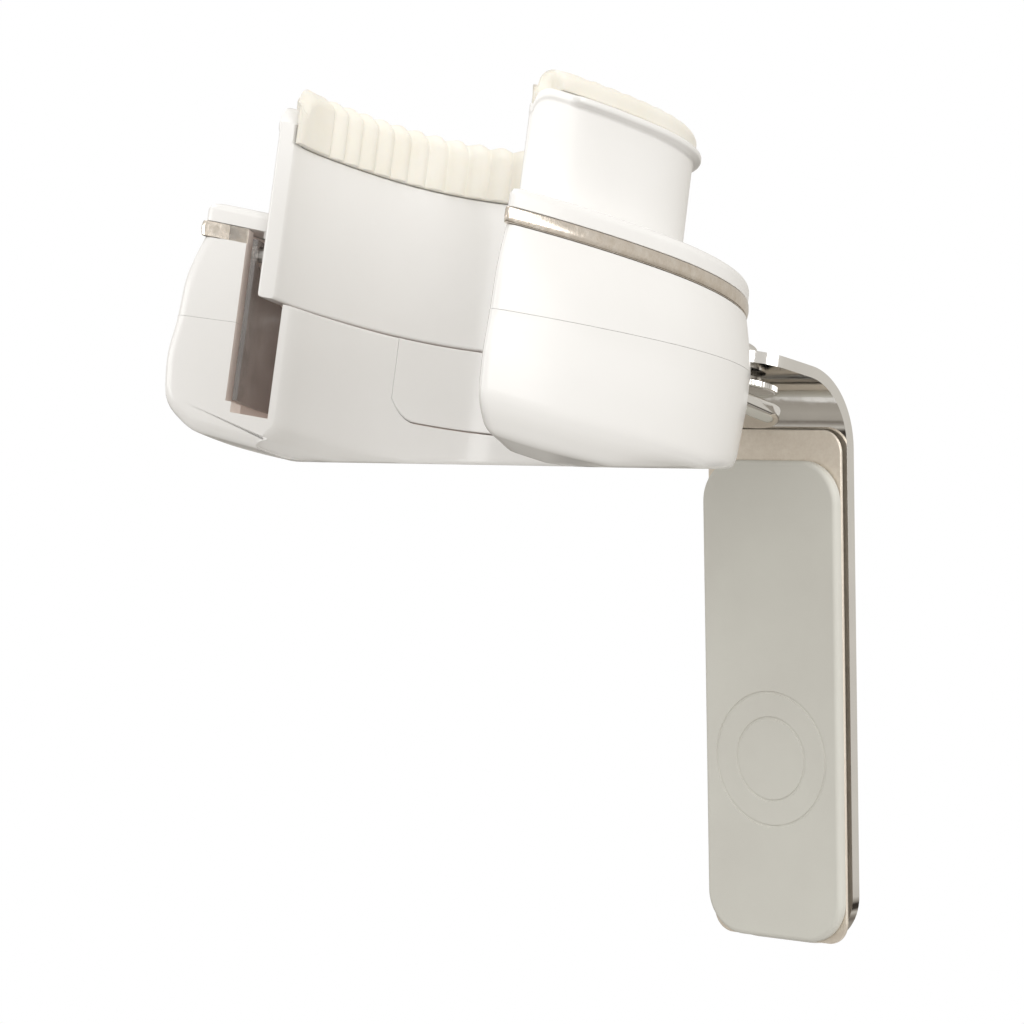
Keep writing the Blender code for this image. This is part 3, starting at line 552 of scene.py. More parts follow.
def grey_elastomer():
    look = Look("grey_elastomer", (0.66, 0.655, 0.60), 0.5)
    look.vary_colour(look.noise(18.0, 5.0), (0.675, 0.67, 0.615), (0.635, 0.625, 0.575))
    look.vary_roughness(look.noise(5.0, 6.0, rough=0.7), 0.40, 0.56)
    look.bump(look.noise(0.45, 5.0, rough=0.75), 0.022)
    return look.material


def chrome():
    colour = (0.86, 0.845, 0.82)
    look = Look("chrome", colour, 0.04, metallic=1.0)
    look.vary_colour(look.noise(14.0, 4.0), colour, tuple(c * 0.93 for c in colour))
    look.vary_roughness(look.noise(3.0, 6.0, rough=0.7), 0.04, 0.14)
    look.bump(look.noise(0.25, 2.0, stretch=(1.0, 1.0, 14.0)), 0.0012)
    look.bump(look.noise(7.0, 2.0), 0.03)
    return look.material


def band_metal():
    look = Look("band_metal", (0.84, 0.77, 0.69), 0.18, metallic=1.0)
    look.vary_colour(look.noise(2.2, 5.0, rough=0.7), (0.88, 0.82, 0.75), (0.72, 0.64, 0.55))
    look.vary_roughness(look.noise(1.4, 5.0), 0.08, 0.22)
    look.bump(look.noise(0.6, 4.0), 0.012)
    return look.material


def satin_metal():
    look = Look("satin_metal", (0.84, 0.765, 0.665), 0.42, metallic=0.55)
    look.vary_colour(look.noise(1.1, 6.0, rough=0.75), (0.88, 0.81, 0.71), (0.78, 0.70, 0.60))
    look.vary_roughness(look.noise(2.4, 5.0), 0.36, 0.52)
    look.bump(look.noise(0.22, 4.0, stretch=(1.0, 1.0, 5.0), rough=0.7), 0.012)
    return look.material


def plain_steel():
    look = Look("plain_steel", (0.56, 0.55, 0.53), 0.3, metallic=1.0)
    look.vary_colour(look.noise(2.0, 4.0), (0.60, 0.59, 0.57), (0.48, 0.47, 0.45))
    look.vary_roughness(look.noise(0.8, 5.0), 0.22, 0.42)
    look.bump(look.noise(0.2, 3.0), 0.006)
    return look.material


def smoke_plastic():
    look = Look("smoke_plastic", (0.66, 0.63, 0.61), 0.12)
    look.shader.inputs["Transmission Weight"].default_value = 0.75
    look.shader.inputs["IOR"].default_value = 1.49
    look.vary_colour(look.noise(5.0, 4.0), (0.70, 0.67, 0.65), (0.55, 0.52, 0.505))
    look.vary_roughness(look.noise(2.0, 5.0), 0.08, 0.2)
    look.bump(look.noise(0.5, 3.0, stretch=(1.0, 1.0, 6.0)), 0.004)
    return look.material


# ---------------------------------------------------------------- white shells

def floor_z(y):
    """Underside of the housing; it rises towards the bracket."""
    return FLOOR + FLOOR_RISE * max(y - FLOOR_RISE_Y, 0.0)


def clipped(z, above=0.0):
    """A height that never falls below the rising underside."""
    return lambda share, x, y: max(z, floor_z(y) + above)


def upper_parting(share, x, y):
    """Upper side of the hairline between the shells."""
    return PART_Z + PART_SLOPE * y + PART_GAP


def lower_parting(share, x, y):
    return PART_Z + PART_SLOPE * y - PART_GAP


def chamber():
    """Hollow of both shells. Rows here and below are (plan, offset, z, corner radius)."""
    return ring("chamber", [
        (CRADLE, INNER_BACK, CHAMBER_TOP, 0), (CRADLE, INNER_BACK, clipped(FLOOR_TOP, FLOOR_THICK), 0),
        (HOUSING, -7.5, clipped(-22.0, FLOOR_THICK), 0), (HOUSING, -3.8, clipped(-21.2, FLOOR_THICK), 0),
        (HOUSING, -WALL, clipped(-18.8, FLOOR_THICK), 0), (HOUSING, -WALL, CHAMBER_TOP, 0)],
        lifted=True, inset=END_WEB, fractions=even_fractions(COARSE))


def recess():
    """Way of the sleeve, out through both end faces."""
    low = clipped(RECESS_LOW, FLOOR_THICK)
    return ring("recess", [(CRADLE, INNER_BACK, RECESS_TOP, 0), (CRADLE, INNER_BACK, low, 0),
                           (CRADLE, RECESS_OUT, low, 0), (CRADLE, RECESS_OUT, RECESS_TOP, 0)],
                inset=-RECESS_PAST, fractions=even_fractions(COARSE))


def gate_ways():
    """Slots in the end faces that the gates come out of."""
    first, last = GATE_SLOT_ANGLES
    spans = [(first + (last - first) * i / 16, GATE_LOW - CLEAR, GATE_WAY_TOP) for i in range(17)]
    return [polar("way", spans, *GATE_SLOT, mirror=side) for side in (-1, 1)]


def tongue_way():
    return block("way", TONGUE_HALF + CLEAR, TONGUE_WAY_Y, (TONGUE_LOW - CLEAR, TONGUE_TOP + CLEAR))


def panel_low(y, extra):
    """Lower edge of the panel, which turns up towards its ends."""
    share = max((PANEL_TURN_Y - y) / (PANEL_TURN_Y - PANEL_END_Y), 0.0)
    return PANEL_LOW - extra + PANEL_RISE * min(share, 1.2) ** 2


def panel_ring(name, offsets, extra, top, radius):
    """The stretch of inner wall that the access panel fills."""
    path = c_path(CRADLE, INNER_FACE, 0.0, [i / PANEL_SEARCH for i in range(PANEL_SEARCH + 1)])
    first = next(i for i, (_, y) in enumerate(path) if y > PANEL_END_Y) / PANEL_SEARCH - extra / PANEL_PATH
    fractions = [first + (1 - 2 * first) * (i / PANEL_COLUMNS) for i in range(PANEL_COLUMNS + 1)]

    def low(share, x, y):
        return panel_low(y, extra)
    return ring(name, [(CRADLE, offsets[0], top, radius), (CRADLE, offsets[0], low, radius),
                       (CRADLE, offsets[1], low, 0), (CRADLE, offsets[1], top, 0)], fractions=fractions)


def lower_shell(look, cavity):
    """Inner wall, floor and flanks up to the parting line; the hollows have the cavity's paint, a painted
    shade and glow.
    """
    shell = ring("housing_lower", [
        (CRADLE, INNER_FACE, INNER_TOP, 0.5), (CRADLE, INNER_FACE, clipped(-20.8), 1.2),
        (CRADLE, -0.6, clipped(-22.8), 1.2), (CRADLE, 1.6, clipped(-24.2), 2.0),
        (HOUSING, -7.7, clipped(FLOOR), 3.0), (BELLY, -1.9, clipped(-23.5), 1.6),
        (BELLY, 0.9, clipped(-19.8), 2.6), (BELLY, 1.3, clipped(-11.5), 2.6),
        (HOUSING, BULGE, clipped(-6.0), 1.0), (HOUSING, BULGE, lower_parting, 0.05),
        (HOUSING, -WALL - 1.0, lower_parting, 0), (CRADLE, RECESS_OUT - 0.1, lower_parting, 0),
        (CRADLE, INNER_BACK, INNER_TOP, 0)],
        end_radius=1.7, lifted=True, inset=HOUSING_TRIM, inner_share=0.35)
    painted(shell, look)
    ways = [painted(way, cavity) for way in (chamber(), recess(), *gate_ways(), tongue_way())]
    panel_way = panel_ring("way", (INNER_FACE - 2.0, INNER_BACK + 0.8), PANEL_GAP, PANEL_WAY_TOP, 0)
    cut(shell, [painted(panel_way, look), *ways])
    for x, y in SCREW_SPOTS:
        seat = floor_z(y) + SCREW_HEAD_DEPTH
        bore = stack("way", x, y, [(SCREW_HEAD_BORE, floor_z(y) - 2), (SCREW_HEAD_BORE, seat),
                                   (SCREW_BORE, seat), (SCREW_BORE, PART_Z - 6)], 40)
        cut(shell, [painted(bore, look)])
    finished(shell, "yoke", look, "white_plastic", "lower_shell")


def upper_shell(look, cavity):
    """Flanks from the parting line up to a seat behind the metal band."""
    shell = ring("housing_upper", [
        (CRADLE, RECESS_OUT + 0.1, upper_parting, 0), (HOUSING, BULGE, upper_parting, 0.05),
        (HOUSING, 1.55, 1.0, 2.5), (HOUSING, 0.8, 5.0, 1.4), (HOUSING, 0.1, BAND_LOW - SEAM, 0.15),
        (HOUSING, -1.2, BAND_LOW - SEAM, 0), (HOUSING, -1.2, BAND_TOP, 0),
        (CRADLE, RECESS_OUT + 0.1, BAND_TOP, 0)],
        end_radius=1.8, inset=HOUSING_TRIM, inner_share=0.1)
    painted(shell, look)
    # The hollows get the cavity's painted shade and glow.
    cut(shell, [painted(way, cavity) for way in (chamber(), *gate_ways(), tongue_way())])
    finished(shell, "yoke", look, "white_plastic", "upper_shell")


def top_cap(look):
    """Cap with a lip round the sleeve's way."""
    lip, lip_low = SLEEVE_WALL + 0.4, GATE_TOP + 0.4
    low = BAND_TOP + SEAM
    cap = ring("cap", [
        (CRADLE, lip, CAP_TOP, 0.7), (CRADLE, lip, lip_low, 0.2), (CRADLE, lip + 0.8, lip_low, 0.2),
        (CRADLE, lip + 0.8, low, 0.2), (HOUSING, 0.0, low, 0.12), (HOUSING, 0.0, CAP_TOP - 1.2, 0.5),
        (HOUSING, -0.5, CAP_TOP - 0.35, 0.5), (HOUSING, -1.4, CAP_TOP, 0.8)],
        end_radius=1.4, inset=HOUSING_TRIM, inner_share=0.35, crest=CAP_TOP)
    finished(cap, "yoke", look, "white_plastic", "top_cap")


def trim_band(look):
    """Thin slightly domed band whose ends wrap round the arms' end faces."""
    wrap = BAND_WRAP_RUN / path_length(HOUSING)

    def back(share):
        return BAND_WRAP if min(share, 1 - share) < wrap else BAND_BACK
    ends = [0.0, wrap * 0.5, wrap * 0.98, wrap * 1.02]
    fractions = ends + even_fractions()[2:-2] + [1 - end for end in reversed(ends)]
    band = ring("band", [
        (HOUSING, 0.12, BAND_LOW, 0.2), (HOUSING, 0.32, (BAND_LOW + BAND_TOP) / 2, 0.8),
        (HOUSING, 0.12, BAND_TOP, 0.2), (HOUSING, back, BAND_TOP, 0), (HOUSING, back, BAND_LOW, 0)],
        end_radius=0.9, inset=HOUSING_TRIM, fractions=fractions)
    finished(band, "yoke", look, "chrome", "trim_band")


def access_panel(look):
    panel = panel_ring("panel", (INNER_FACE, INNER_BACK), 0.0, INNER_TOP, 0.25)
    finished(soften(panel, 0.15, 2, 60), "yoke", look, "white_plastic", "access_panel")


# ---------------------------------------------------------------- cradle

@lru_cache(maxsize=None)
def path_length(plan):
    """Length of the whole C."""
    points = half_path(plan, 0.0, 0.0)
    return 2 * sum(hypot(b[0] - a[0], b[1] - a[1]) for a, b in zip(points, points[1:]))


def from_tip(share):
    """Distance along the cradle to its nearer tip."""
    return min(share, 1 - share) * path_length(CRADLE)


def eased(value):
    """From 0 to 1 with soft ends."""
    rise = min(max(value, 0.0), 1.0)
    return rise * rise * (3 - 2 * rise)


def rim_offset(share):
    """The bead dies away before the arm's ends."""
    rise = eased((from_tip(share) - SMOOTH_END + 1.0) / 2.0)
    return SLEEVE_WALL + RIM_START + (RIM_PROUD - RIM_START) * rise


def tip_rise(share):
    """0 at a tip and 1 from a few millimetres on."""
    return eased((from_tip(share) - TIP_PLAIN) / TIP_BLEND)


def widening(offset, start):
    """An offset that begins at start in the tips."""
    return lambda share: start + (offset - start) * tip_rise(share)


def droop(share):
    """How far the top corners of the tips are rounded off."""
    to_end = min(from_tip(share), TIP_DROOP)
    return TIP_DROOP - sqrt(TIP_DROOP ** 2 - (TIP_DROOP - to_end) ** 2)


def drooping(z):
    """A constant or varying height that follows the tips' rounded corners."""
    if callable(z):
        return lambda share, x, y: z(share, x, y) - droop(share)
    return lambda share, x, y: z - droop(share)


def sleeve(look):
    """Sliding wall with a bead along its rim and a seat for the pad on the mouth side."""
    seat = widening(SEAT_IN, TIP_OUT + 0.2)
    rim_low, rim_high, top = drooping(RIM_LOW), drooping(SLEEVE_TOP - 0.3), drooping(SLEEVE_TOP)
    piece = ring("cradle_shell", [
        (CRADLE, 0.0, 0.0, 0.7), (CRADLE, SLEEVE_WALL, 0.0, 0.5),
        (CRADLE, SLEEVE_WALL, drooping(RIM_LOW - 0.5), 0.35), (CRADLE, rim_offset, rim_low, 0.35),
        (CRADLE, rim_offset, rim_high, 0.3), (CRADLE, SLEEVE_WALL + 0.1, top, 0.1),
        (CRADLE, seat, top, 0), (CRADLE, seat, SEAT_LOW, 0), (CRADLE, 0.0, SEAT_LOW, 0.2)],
        end_radius=0.5, inset=-SLEEVE_REACH, inner_share=0.4, fractions=even_fractions(SLEEVE_COLUMNS))
    finished(piece, "cradle", look, "white_plastic", "cradle_sleeve")


def rib(share):
    """1 on a rib's crest and 0 in a valley; the end blocks stay smooth."""
    to_end = from_tip(share)
    if to_end < SMOOTH_END:
        return 1.0
    phase = (to_end - SMOOTH_END) / RIB_PITCH
    return abs(cos(pi * phase)) ** RIB_POWER


def cradle_pad(look):
    """Ribs run up the pad's mouth side and over its shoulder."""
    fractions = [i / PAD_COLUMNS for i in range(PAD_COLUMNS + 1)]

    def inner(share):
        return -0.25 - RIB_DEPTH * rib(share)

    def shoulder(share):
        return 0.75 - 0.35 * rib(share)

    def top_in(share, x, y):
        return PAD_TOP - 1.3 + 1.3 * rib(share)

    def side_in(share, x, y):
        return PAD_TOP - 2.6 + 0.9 * rib(share)
    root = widening(SEAT_IN - CLEAR, TIP_OUT - 0.1)
    base = drooping(SLEEVE_TOP + 0.12)
    shoulder_out, crown_out = drooping(PAD_TOP - 1.5), drooping(PAD_TOP - 0.35)
    pad = ring("ribbed_pad", [
        (CRADLE, inner, SEAT_LOW + 0.15, 0.35), (CRADLE, root, SEAT_LOW + 0.15, 0),
        (CRADLE, root, base, 0),
        (CRADLE, widening(PAD_OUT - 0.9, TIP_OUT), base, 0.3),
        (CRADLE, widening(PAD_OUT - 0.8, TIP_OUT), shoulder_out, 0.7),
        (CRADLE, widening(PAD_OUT - 1.9, TIP_OUT), crown_out, 0.6),
        (CRADLE, shoulder, drooping(top_in), 0.9), (CRADLE, inner, drooping(side_in), 0.9)],
        end_radius=0.8, inset=-PAD_REACH, fractions=fractions, inner_share=0.6, middle=-0.5)
    finished(pad, "cradle", look, "cream_elastomer", "cradle_pad", sharp=70)


# ---------------------------------------------------------------- gates and springs

def track_span(x, run, half):
    """Lowest and highest point that a pin of radius half sweeps at arc length x."""
    reach = []
    for i in range(TRACK_STEPS + 1):
        pin_x = run * i / TRACK_STEPS
        if abs(x - pin_x) <= half:
            lift = sqrt(half ** 2 - (x - pin_x) ** 2)
            height = PIN_Z - TRAVEL * i / TRACK_STEPS
            reach += [height - lift, height + lift]
    return min(reach), max(reach)


def gate(side, look):
    """Curved strip with a slanted track for the cradle's pin."""
    mirror = -1 if side == "left" else 1
    angles = [GATE_START + (GATE_END - GATE_START) * i / GATE_COLUMNS for i in range(GATE_COLUMNS + 1)]
    spans = [(angle, GATE_LOW, GATE_TOP) for angle in angles]
    strip = polar("gate_strip_" + side, spans, GATE_R - GATE_THICK / 2, GATE_R + GATE_THICK / 2, mirror)
    run = radians(GATE_TURN) * GATE_R
    stations = [-0.97, -0.8, -0.45, 0.0, 0.5, 1.0]
    places = [PIN_WAY * s for s in stations]
    places += [PIN_WAY + (run - 2 * PIN_WAY) * i / 12 for i in range(1, 12)]
    places += [run - PIN_WAY * s for s in reversed(stations)]
    track = [(PIN_ANGLE + x / GATE_R * 180 / pi, *track_span(x, run, PIN_WAY)) for x in places]
    cut(strip, [polar("way", track, GATE_R - 2, GATE_R + 2, mirror)])
    soften(strip, 0.12, 2, 60)
    finished(strip, "gate_" + side, look, "clear_plastic", "gate_" + side)


def spring(name, look):
    """A helix with closed ends, fixed to the yoke."""
    low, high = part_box(name)
    centre = YOKE.inverted() @ ((low + high) / 2) / MM
    radius, wire, turns, per_turn, sides = 1.4, 0.28, 4.0, 28, 8
    bottom, top, end_rise = -16.3, -0.6, 0.5
    sections = []
    steps = int((turns + 2) * per_turn)
    for i in range(steps + 1):
        angle = 2 * pi * i / per_turn
        share = min(max((i / per_turn - 1) / turns, 0.0), 1.0)
        closed = (min(i, per_turn) + max(i - steps + per_turn, 0)) / per_turn * end_rise
        height = bottom + (top - bottom - 2 * end_rise) * share + closed
        radial = Vector((cos(angle), sin(angle), 0.0))
        at = Vector((centre.x, centre.y, height)) + radial * radius
        sections.append([at + radial * (x * wire) + Vector((0, 0, z * wire))
                         for x, z in circle(0, 0, 1.0, sides)])
    coil = mesh(name.replace("return_", "coil_"), sections, YOKE)
    finished(coil, "yoke", look, "steel", name)
    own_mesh(coil)


# ---------------------------------------------------------------- swivel

def slab(name, outline, levels, place):
    """Stack outline(inset) at each (height, inset)."""
    return mesh(name, [[(x, y, z) for x, y in outline(d)] for z, d in levels], place)


def rounded_edge(low, high, low_radius, high_radius, steps):
    """(height, inset) levels of a plate with rounded edges, lowest first."""
    turns = [pi / 2 * i / steps for i in range(steps + 1)]
    lower = [(low + low_radius * (1 - sin(t)), low_radius * (1 - cos(t))) for t in reversed(turns)]
    return lower + [(high - high_radius * (1 - sin(t)), high_radius * (1 - cos(t))) for t in turns]


def finger_levels():
    """(height share, inset) from a fully rounded belly to a narrow chamfer at the top."""
    levels = [(0.5 * (1 - cos(t)), 2.4 * (1 - sin(t))) for t in [pi / 2 * i / 7 for i in range(8)]]
    return levels + [(0.84, 0.0), (0.93, 0.12), (0.98, 0.4), (1.0, 0.8)]


def finger_height(y, share):
    """The finger grows thicker and droops towards its tip."""
    out = min(max((y - FINGER_Y) / (TONGUE_END - FINGER_Y), 0.0), 1.0)
    low = FINGER_LOW + (TONGUE_LOW - FINGER_LOW) * out
    high = TONGUE_TOP - 0.2 - FINGER_DROOP * out
    return low + (high - low) * share


def tongue(look):
    """Round-nosed finger from inside the housing to under the swivel."""
    rows = []
    for share, inset in finger_levels():
        half = TONGUE_HALF - inset
        outline = [(half, y) for y in TONGUE_STATIONS]
        outline += arc(0.0, TONGUE_END - TONGUE_HALF, half, 0, 180, 40)
        outline += [(-half, y) for y in reversed(TONGUE_STATIONS)]
        rows.append([(x, y, finger_height(y, share)) for x, y in outline])
    piece = mesh("tongue_bar", rows, YOKE)
    finished(piece, "yoke", look, "chrome", "tongue", sharp=60)


def pivot_way(low, high):
    """Cutter for the swivel's bore."""
    return stack("way", 0, PIVOT_Y, [(PIVOT_BORE, low), (PIVOT_BORE, high)], 48)


def knurled(radius, z, depth):
    """A loop about the pivot whose every other stretch lies depth further in."""
    points = []
    sides = TEETH * PER_TOOTH
    for i in range(sides):
        r = radius - depth * (1 if i % PER_TOOTH < PER_TOOTH / 2 else 0)
        points.append((r * cos(2 * pi * i / sides), PIVOT_Y + r * sin(2 * pi * i / sides), z))
    return points


def pivot_disc(look):
    """Round foot with a knurled flange, between the tongue and the bracket."""
    levels = ((8.3, 1.8, 0.0), (8.7, 1.95, 0.0), (9.0, 2.1, TOOTH_DEPTH), (9.0, 2.95, TOOTH_DEPTH),
              (8.75, 3.1, 0.0), (7.4, 3.2, 0.0), (6.7, 3.35, 0.0), (6.5, 3.6, 0.0), (6.5, 4.05, 0.0))
    disc = cut(mesh("swivel_disc", [knurled(*level) for level in levels], YOKE), [pivot_way(0.0, 6.0)])
    finished(disc, "bracket", look, "chrome", "pivot_disc", sharp=30)


def pivot_screw(look):
    """Washer and domed screw with a hexagon socket, on top of the short leg."""
    washer = stack("swivel_washer", 0, PIVOT_Y, [(5.85, 7.0), (6.0, 7.15), (6.0, 7.65), (5.85, 7.8)], 72)
    finished(cut(washer, [pivot_way(5.0, 9.0)]), "bracket", look, "chrome", "pivot_washer")
    dome = [(4.6 * cos(radians(a)), 9.0 + 1.7 * sin(radians(a))) for a in range(0, 76, 8)]
    screw = stack("swivel_screw", 0, PIVOT_Y, [(2.4, -1.7), (2.4, 8.1), (4.45, 8.1), (4.6, 8.3), *dome], 64)
    cut(screw, [stack("way", 0, PIVOT_Y, [(1.9, 9.1), (1.9, 12.0)], 6)])
    finished(soften(screw, 0.12, 2), "bracket", look, "chrome", "pivot_screw")


# ---------------------------------------------------------------- wall bracket

def strip_frames():
    """Outer-face points and normals of the bent strip with its half-widths."""
    tilt = atan2(AXIS.y, AXIS.z)
    turn = pi / 2 - tilt
    straight_top = CORNER_Z - BEND_R * tan(turn / 2)
    frames = []
    for i in range(CORNER_STEPS + 1):
        angle = pi / 2 * i / CORNER_STEPS
        frames.append((0.0, STRIP_LOW + LOW_R * (1 - cos(angle)), 0.0,
                       STRIP_HALF - LOW_R * (1 - sin(angle))))
    low = STRIP_LOW + LOW_R
    for i in range(1, LEG_STEPS + 1):
        frames.append((0.0, low + (straight_top - low) * i / LEG_STEPS, 0.0, STRIP_HALF))
    for i in range(1, BEND_STEPS + 1):
        angle = turn * i / BEND_STEPS
        frames.append((-BEND_R + BEND_R * cos(angle), straight_top + BEND_R * sin(angle), angle,
                       STRIP_HALF))
    corner = YOKE.inverted() @ Vector((0.0, 0.0, CORNER_Z * MM)) / MM
    length = corner.y - SHORT_FRONT
    for i in range(CORNER_STEPS + 1):
        angle = pi / 2 * i / CORNER_STEPS
        run = length - SHORT_R * (1 - sin(angle))
        frames.append((-sin(turn) * run, CORNER_Z + cos(turn) * run, turn,
                       STRIP_HALF - SHORT_R * (1 - cos(angle))))
    return frames


def bracket(look):
    """The bent strip, bored for the swivel and the rivets."""
    rows = []
    for y, z, angle, half in strip_frames():
        inner_y, inner_z = y - STRIP_THICK * cos(angle), z - STRIP_THICK * sin(angle)
        rows.append([(-half, y, z), (half, y, z), (half, inner_y, inner_z), (-half, inner_y, inner_z)])
    arm = mesh("bracket_strip", rows, WALL_FRAME)
    cut(arm, [pivot_way(0.0, 20.0)])
    for number in (1, 2, 3):
        low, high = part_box("rivet_%d" % number)
        height = (low.z + high.z) / 2 / MM
        cut(arm, [turned_to_wall("way", height, [(RIVET_BORE, -0.2), (RIVET_BORE, 5.0)])])
    soften(arm, 0.32, 4)
    finished(arm, "bracket", look, "chrome", "bracket_arm", sharp=45)


def turned_to_wall(name, height, rings):
    """A turned piece whose axis runs along -Y from the wall face."""
    return stack(name, 0.0, 0.0, rings, 40, Matrix.Translation((0.0, 0.0, height * MM)) @ UPRIGHT)


def rounded_rectangle(half, low, high, radius, inset):
    """Outline of an upright plate, all of it inset."""
    points = []
    reach = radius - inset
    for sx, cz, start in ((1, high - radius, 0), (-1, high - radius, 90),
                          (-1, low + radius, 180), (1, low + radius, 270)):
        points += arc(sx * (half - radius), cz, reach, start, start + 90, 16)
    return points


def backing_plate(look):
    def outline(inset):
        return rounded_rectangle(inset=inset, **PLATE)
    plate = slab("satin_plate", outline, rounded_edge(*PLATE_FACES, 0.1, 0.2, 3), UPRIGHT)
    finished(plate, "bracket", look, "satin_metal", "backing_plate")


def grip_pad(look):
    """Soft pad with two shallow plain rings pressed into its face."""
    def outline(inset):
        return rounded_rectangle(inset=inset, **GRIP)
    pad = slab("soft_pad", outline, rounded_edge(*GRIP_FACES, 0.2, 0.9, 7), UPRIGHT)
    for radius in EMBLEM_RADII:
        cut(pad, [groove(radius)])
    soften(pad, 0.12, 3, 55)
    finished(pad, "bracket", look, "grey_elastomer", "grip_pad")


def groove(radius):
    """A ring-shaped cutter for the pad's plain emblem."""
    low, high = radius - GROOVE_WIDTH / 2, radius + GROOVE_WIDTH / 2
    loop = [(low, GROOVE_FLOOR), (high, GROOVE_FLOOR), (high, GROOVE_TOP), (low, GROOVE_TOP)]
    rows = [[(r * x, EMBLEM_Z + r * z, depth) for r, depth in loop] for x, z in circle(0, 0, 1.0, 96)]
    return mesh("way", rows, UPRIGHT, closed=True)


# ---------------------------------------------------------------- stage

def camera():
    """At the photograph's viewing angle."""
    data = bpy.data.cameras.new("camera")
    data.lens = CAMERA_LENS
    data.sensor_width = SENSOR_WIDTH
    data.clip_start = CLIP_START
    data.clip_end = CLIP_END
    piece = bpy.data.objects.new("camera", data)
    azimuth, elevation, roll = [radians(v) for v in (CAMERA_AZIMUTH, CAMERA_ELEVATION, CAMERA_ROLL)]
    away = Vector((sin(azimuth) * cos(elevation), -cos(azimuth) * cos(elevation), sin(elevation)))
    right = Vector((cos(azimuth), sin(azimuth), 0.0))
    up = away.cross(right)
    turned_right = right * cos(roll) + up * sin(roll)
    turned_up = up * cos(roll) - right * sin(roll)
    rotation = Matrix((turned_right, turned_up, away)).transposed().to_4x4()
    piece.matrix_world = Matrix.Translation(Vector(CAMERA_AT) * MM) @ rotation
    bpy.context.scene.collection.objects.link(piece)
    bpy.context.scene.camera = piece


def softbox(name, place, size, power, mirrored):
    """A rectangular light that faces the part."""
    data = bpy.data.lights.new(name, "AREA")
    data.shape = "RECTANGLE"
    data.size, data.size_y = size
    data.energy = power
    piece = bpy.data.objects.new(name, data)
    piece.visible_glossy = mirrored
    piece.location = place
    piece.rotation_euler = (Vector(LIGHTS_AIM) - Vector(place)).to_track_quat("-Z", "Y").to_euler()
    bpy.context.scene.collection.objects.link(piece)


def studio():
    """A pale floor far below the part, softboxes and the room."""
    bm = bmesh.new()
    bmesh.ops.create_circle(bm, cap_ends=True, segments=96, radius=FLOOR_RADIUS)
    data = bpy.data.meshes.new("floor")
    bm.to_mesh(data)
    bm.free()
    floor = bpy.data.objects.new("floor", data)
    floor.location.z = CAD_BOX[0][2] - FLOOR_BELOW * MM
    bpy.context.scene.collection.objects.link(floor)
    look = Look("floor_paper", (0.93, 0.93, 0.925), 0.8)
    look.vary_colour(look.noise(400.0, 3.0), (0.935, 0.935, 0.93), (0.92, 0.92, 0.915))
    floor.data.materials.append(look.material)
    for light in SOFTBOXES:
        softbox(*light)
    world = bpy.data.worlds.new("studio")
    world.use_nodes = True
    bpy.context.scene.world = world
    light_world(world.node_tree)


def ramp_of(tree, value, stops):
    """A colour ramp through (position, colour) stops."""
    ramp = tree.nodes.new("ShaderNodeValToRGB")
    elements = ramp.color_ramp.elements
    elements[0].position, elements[1].position = stops[0][0], stops[-1][0]
    elements[0].color, elements[1].color = (*stops[0][1], 1.0), (*stops[-1][1], 1.0)
    for position, colour in stops[1:-1]:
        elements.new(position).color = (*colour, 1.0)
    tree.links.new(value, ramp.inputs["Fac"])
    return ramp.outputs["Color"]


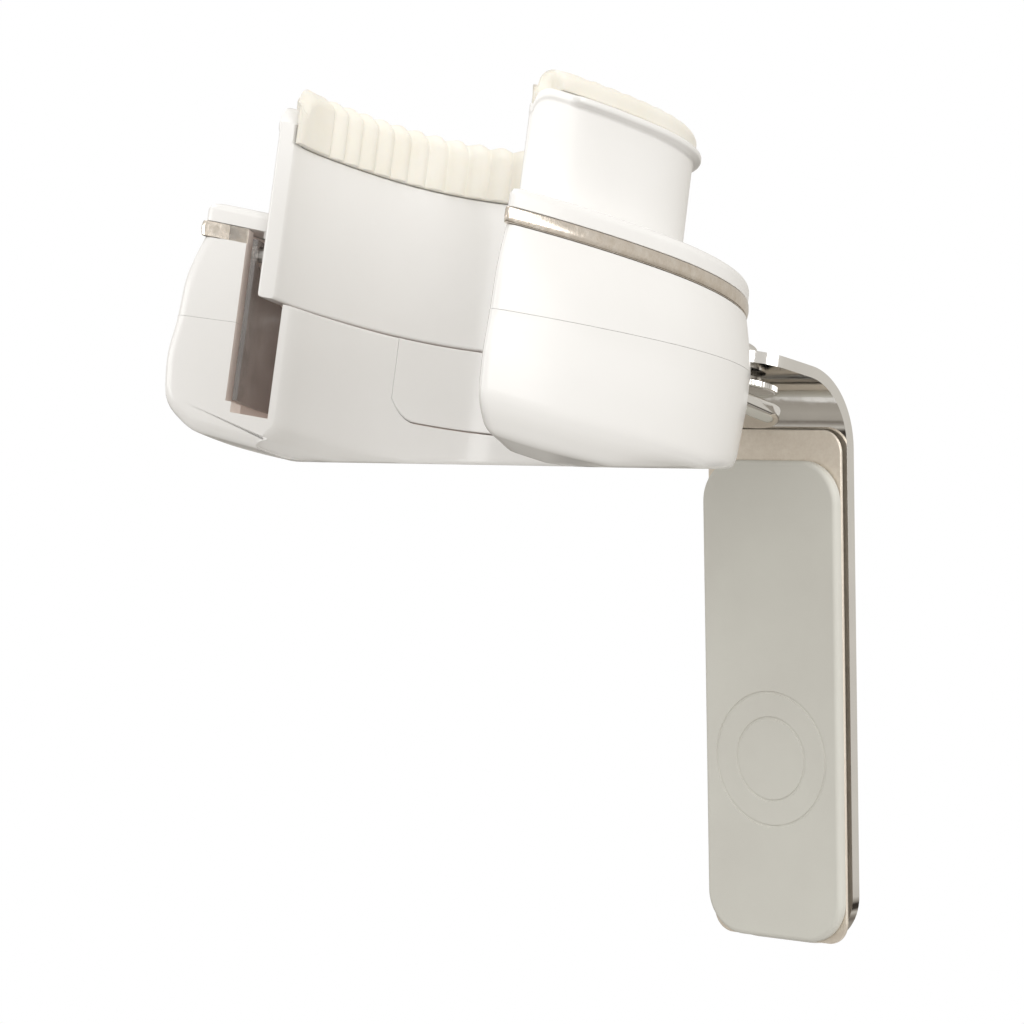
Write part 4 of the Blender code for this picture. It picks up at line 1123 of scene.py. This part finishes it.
def light_world(tree):
    """White to the camera; to all else a warm grey room with a bright ceiling and a dark band."""
    tree.nodes.clear()
    output = tree.nodes.new("ShaderNodeOutputWorld")
    seen = tree.nodes.new("ShaderNodeBackground")
    seen.inputs["Color"].default_value = (1.0, 1.0, 1.0, 1.0)
    seen.inputs["Strength"].default_value = 1.0
    room = tree.nodes.new("ShaderNodeBackground")
    room.inputs["Strength"].default_value = ROOM_LIGHT
    place = tree.nodes.new("ShaderNodeTexCoord")
    split = tree.nodes.new("ShaderNodeSeparateXYZ")
    tree.links.new(place.outputs["Generated"], split.inputs["Vector"])
    rise = tree.nodes.new("ShaderNodeMapRange")
    rise.inputs["From Min"].default_value = -1.0
    tree.links.new(split.outputs["Z"], rise.inputs["Value"])
    turn = tree.nodes.new("ShaderNodeMath")
    turn.operation = "ARCTAN2"
    tree.links.new(split.outputs["X"], turn.inputs[0])
    tree.links.new(split.outputs["Y"], turn.inputs[1])
    share = tree.nodes.new("ShaderNodeMapRange")
    share.inputs["From Min"].default_value = -pi
    share.inputs["From Max"].default_value = pi
    tree.links.new(turn.outputs["Value"], share.inputs["Value"])
    product = tree.nodes.new("ShaderNodeMix")
    product.data_type = "RGBA"
    product.blend_type = "MULTIPLY"
    product.inputs[MIX_FACTOR].default_value = 1.0
    tree.links.new(ramp_of(tree, rise.outputs["Result"], ROOM_BY_HEIGHT), product.inputs[MIX_A])
    tree.links.new(ramp_of(tree, share.outputs["Result"], ROOM_BY_TURN), product.inputs[MIX_B])
    path = tree.nodes.new("ShaderNodeLightPath")
    mix = tree.nodes.new("ShaderNodeMixShader")
    tree.links.new(product.outputs[MIX_RESULT], room.inputs["Color"])
    tree.links.new(path.outputs["Is Camera Ray"], mix.inputs["Fac"])
    tree.links.new(room.outputs["Background"], mix.inputs[1])
    tree.links.new(seen.outputs["Background"], mix.inputs[2])
    tree.links.new(mix.outputs["Shader"], output.inputs["Surface"])


def repaint(starts, look):
    """Give the CAD nodes whose names begin so their fine material and broken edges."""
    for name, node in frame["nodes"].items():
        if not name.startswith(starts):
            continue
        node.data.materials.clear()
        node.data.materials.append(look)
        bevel = node.modifiers.new("edges", "BEVEL")
        bevel.width = 0.12 * MM
        bevel.segments = 2
        bevel.limit_method = "ANGLE"
        bevel.angle_limit = radians(50)


def main():
    """Stage, then every piece in turn."""
    bpy.context.scene.view_settings.view_transform = "Standard"
    camera()
    studio()
    white, polished, steel = white_plastic(), chrome(), plain_steel()
    # Painted shade and glow for the hollows of the shells.
    cavity = cavity_painted_shade_and_glow()
    lower_shell(white, cavity)
    upper_shell(white, cavity)
    top_cap(white)
    trim_band(band_metal())
    access_panel(white)
    sleeve(white)
    cradle_pad(cream_elastomer())
    smoke = smoke_plastic()
    for side in ("left", "right"):
        gate(side, smoke)
    for side in ("left", "right"):
        spring("return_spring_" + side, steel)
    tongue(polished)
    pivot_disc(polished)
    pivot_screw(polished)
    bracket(polished)
    backing_plate(satin_metal())
    grip_pad(grey_elastomer())
    repaint(("shell_screw", "tongue_screw", "tongue_plate", "drive_pin", "rivet"), steel)
    repaint(("spring_post", "sleeve_foot"), white_plastic("white_plastic_inner"))
    for node in frame["nodes"].values():
        if not node.hide_render:
            node.data.shade_smooth()
            node.data.set_sharp_from_angle(angle=radians(SHARP_ANGLE))


main()
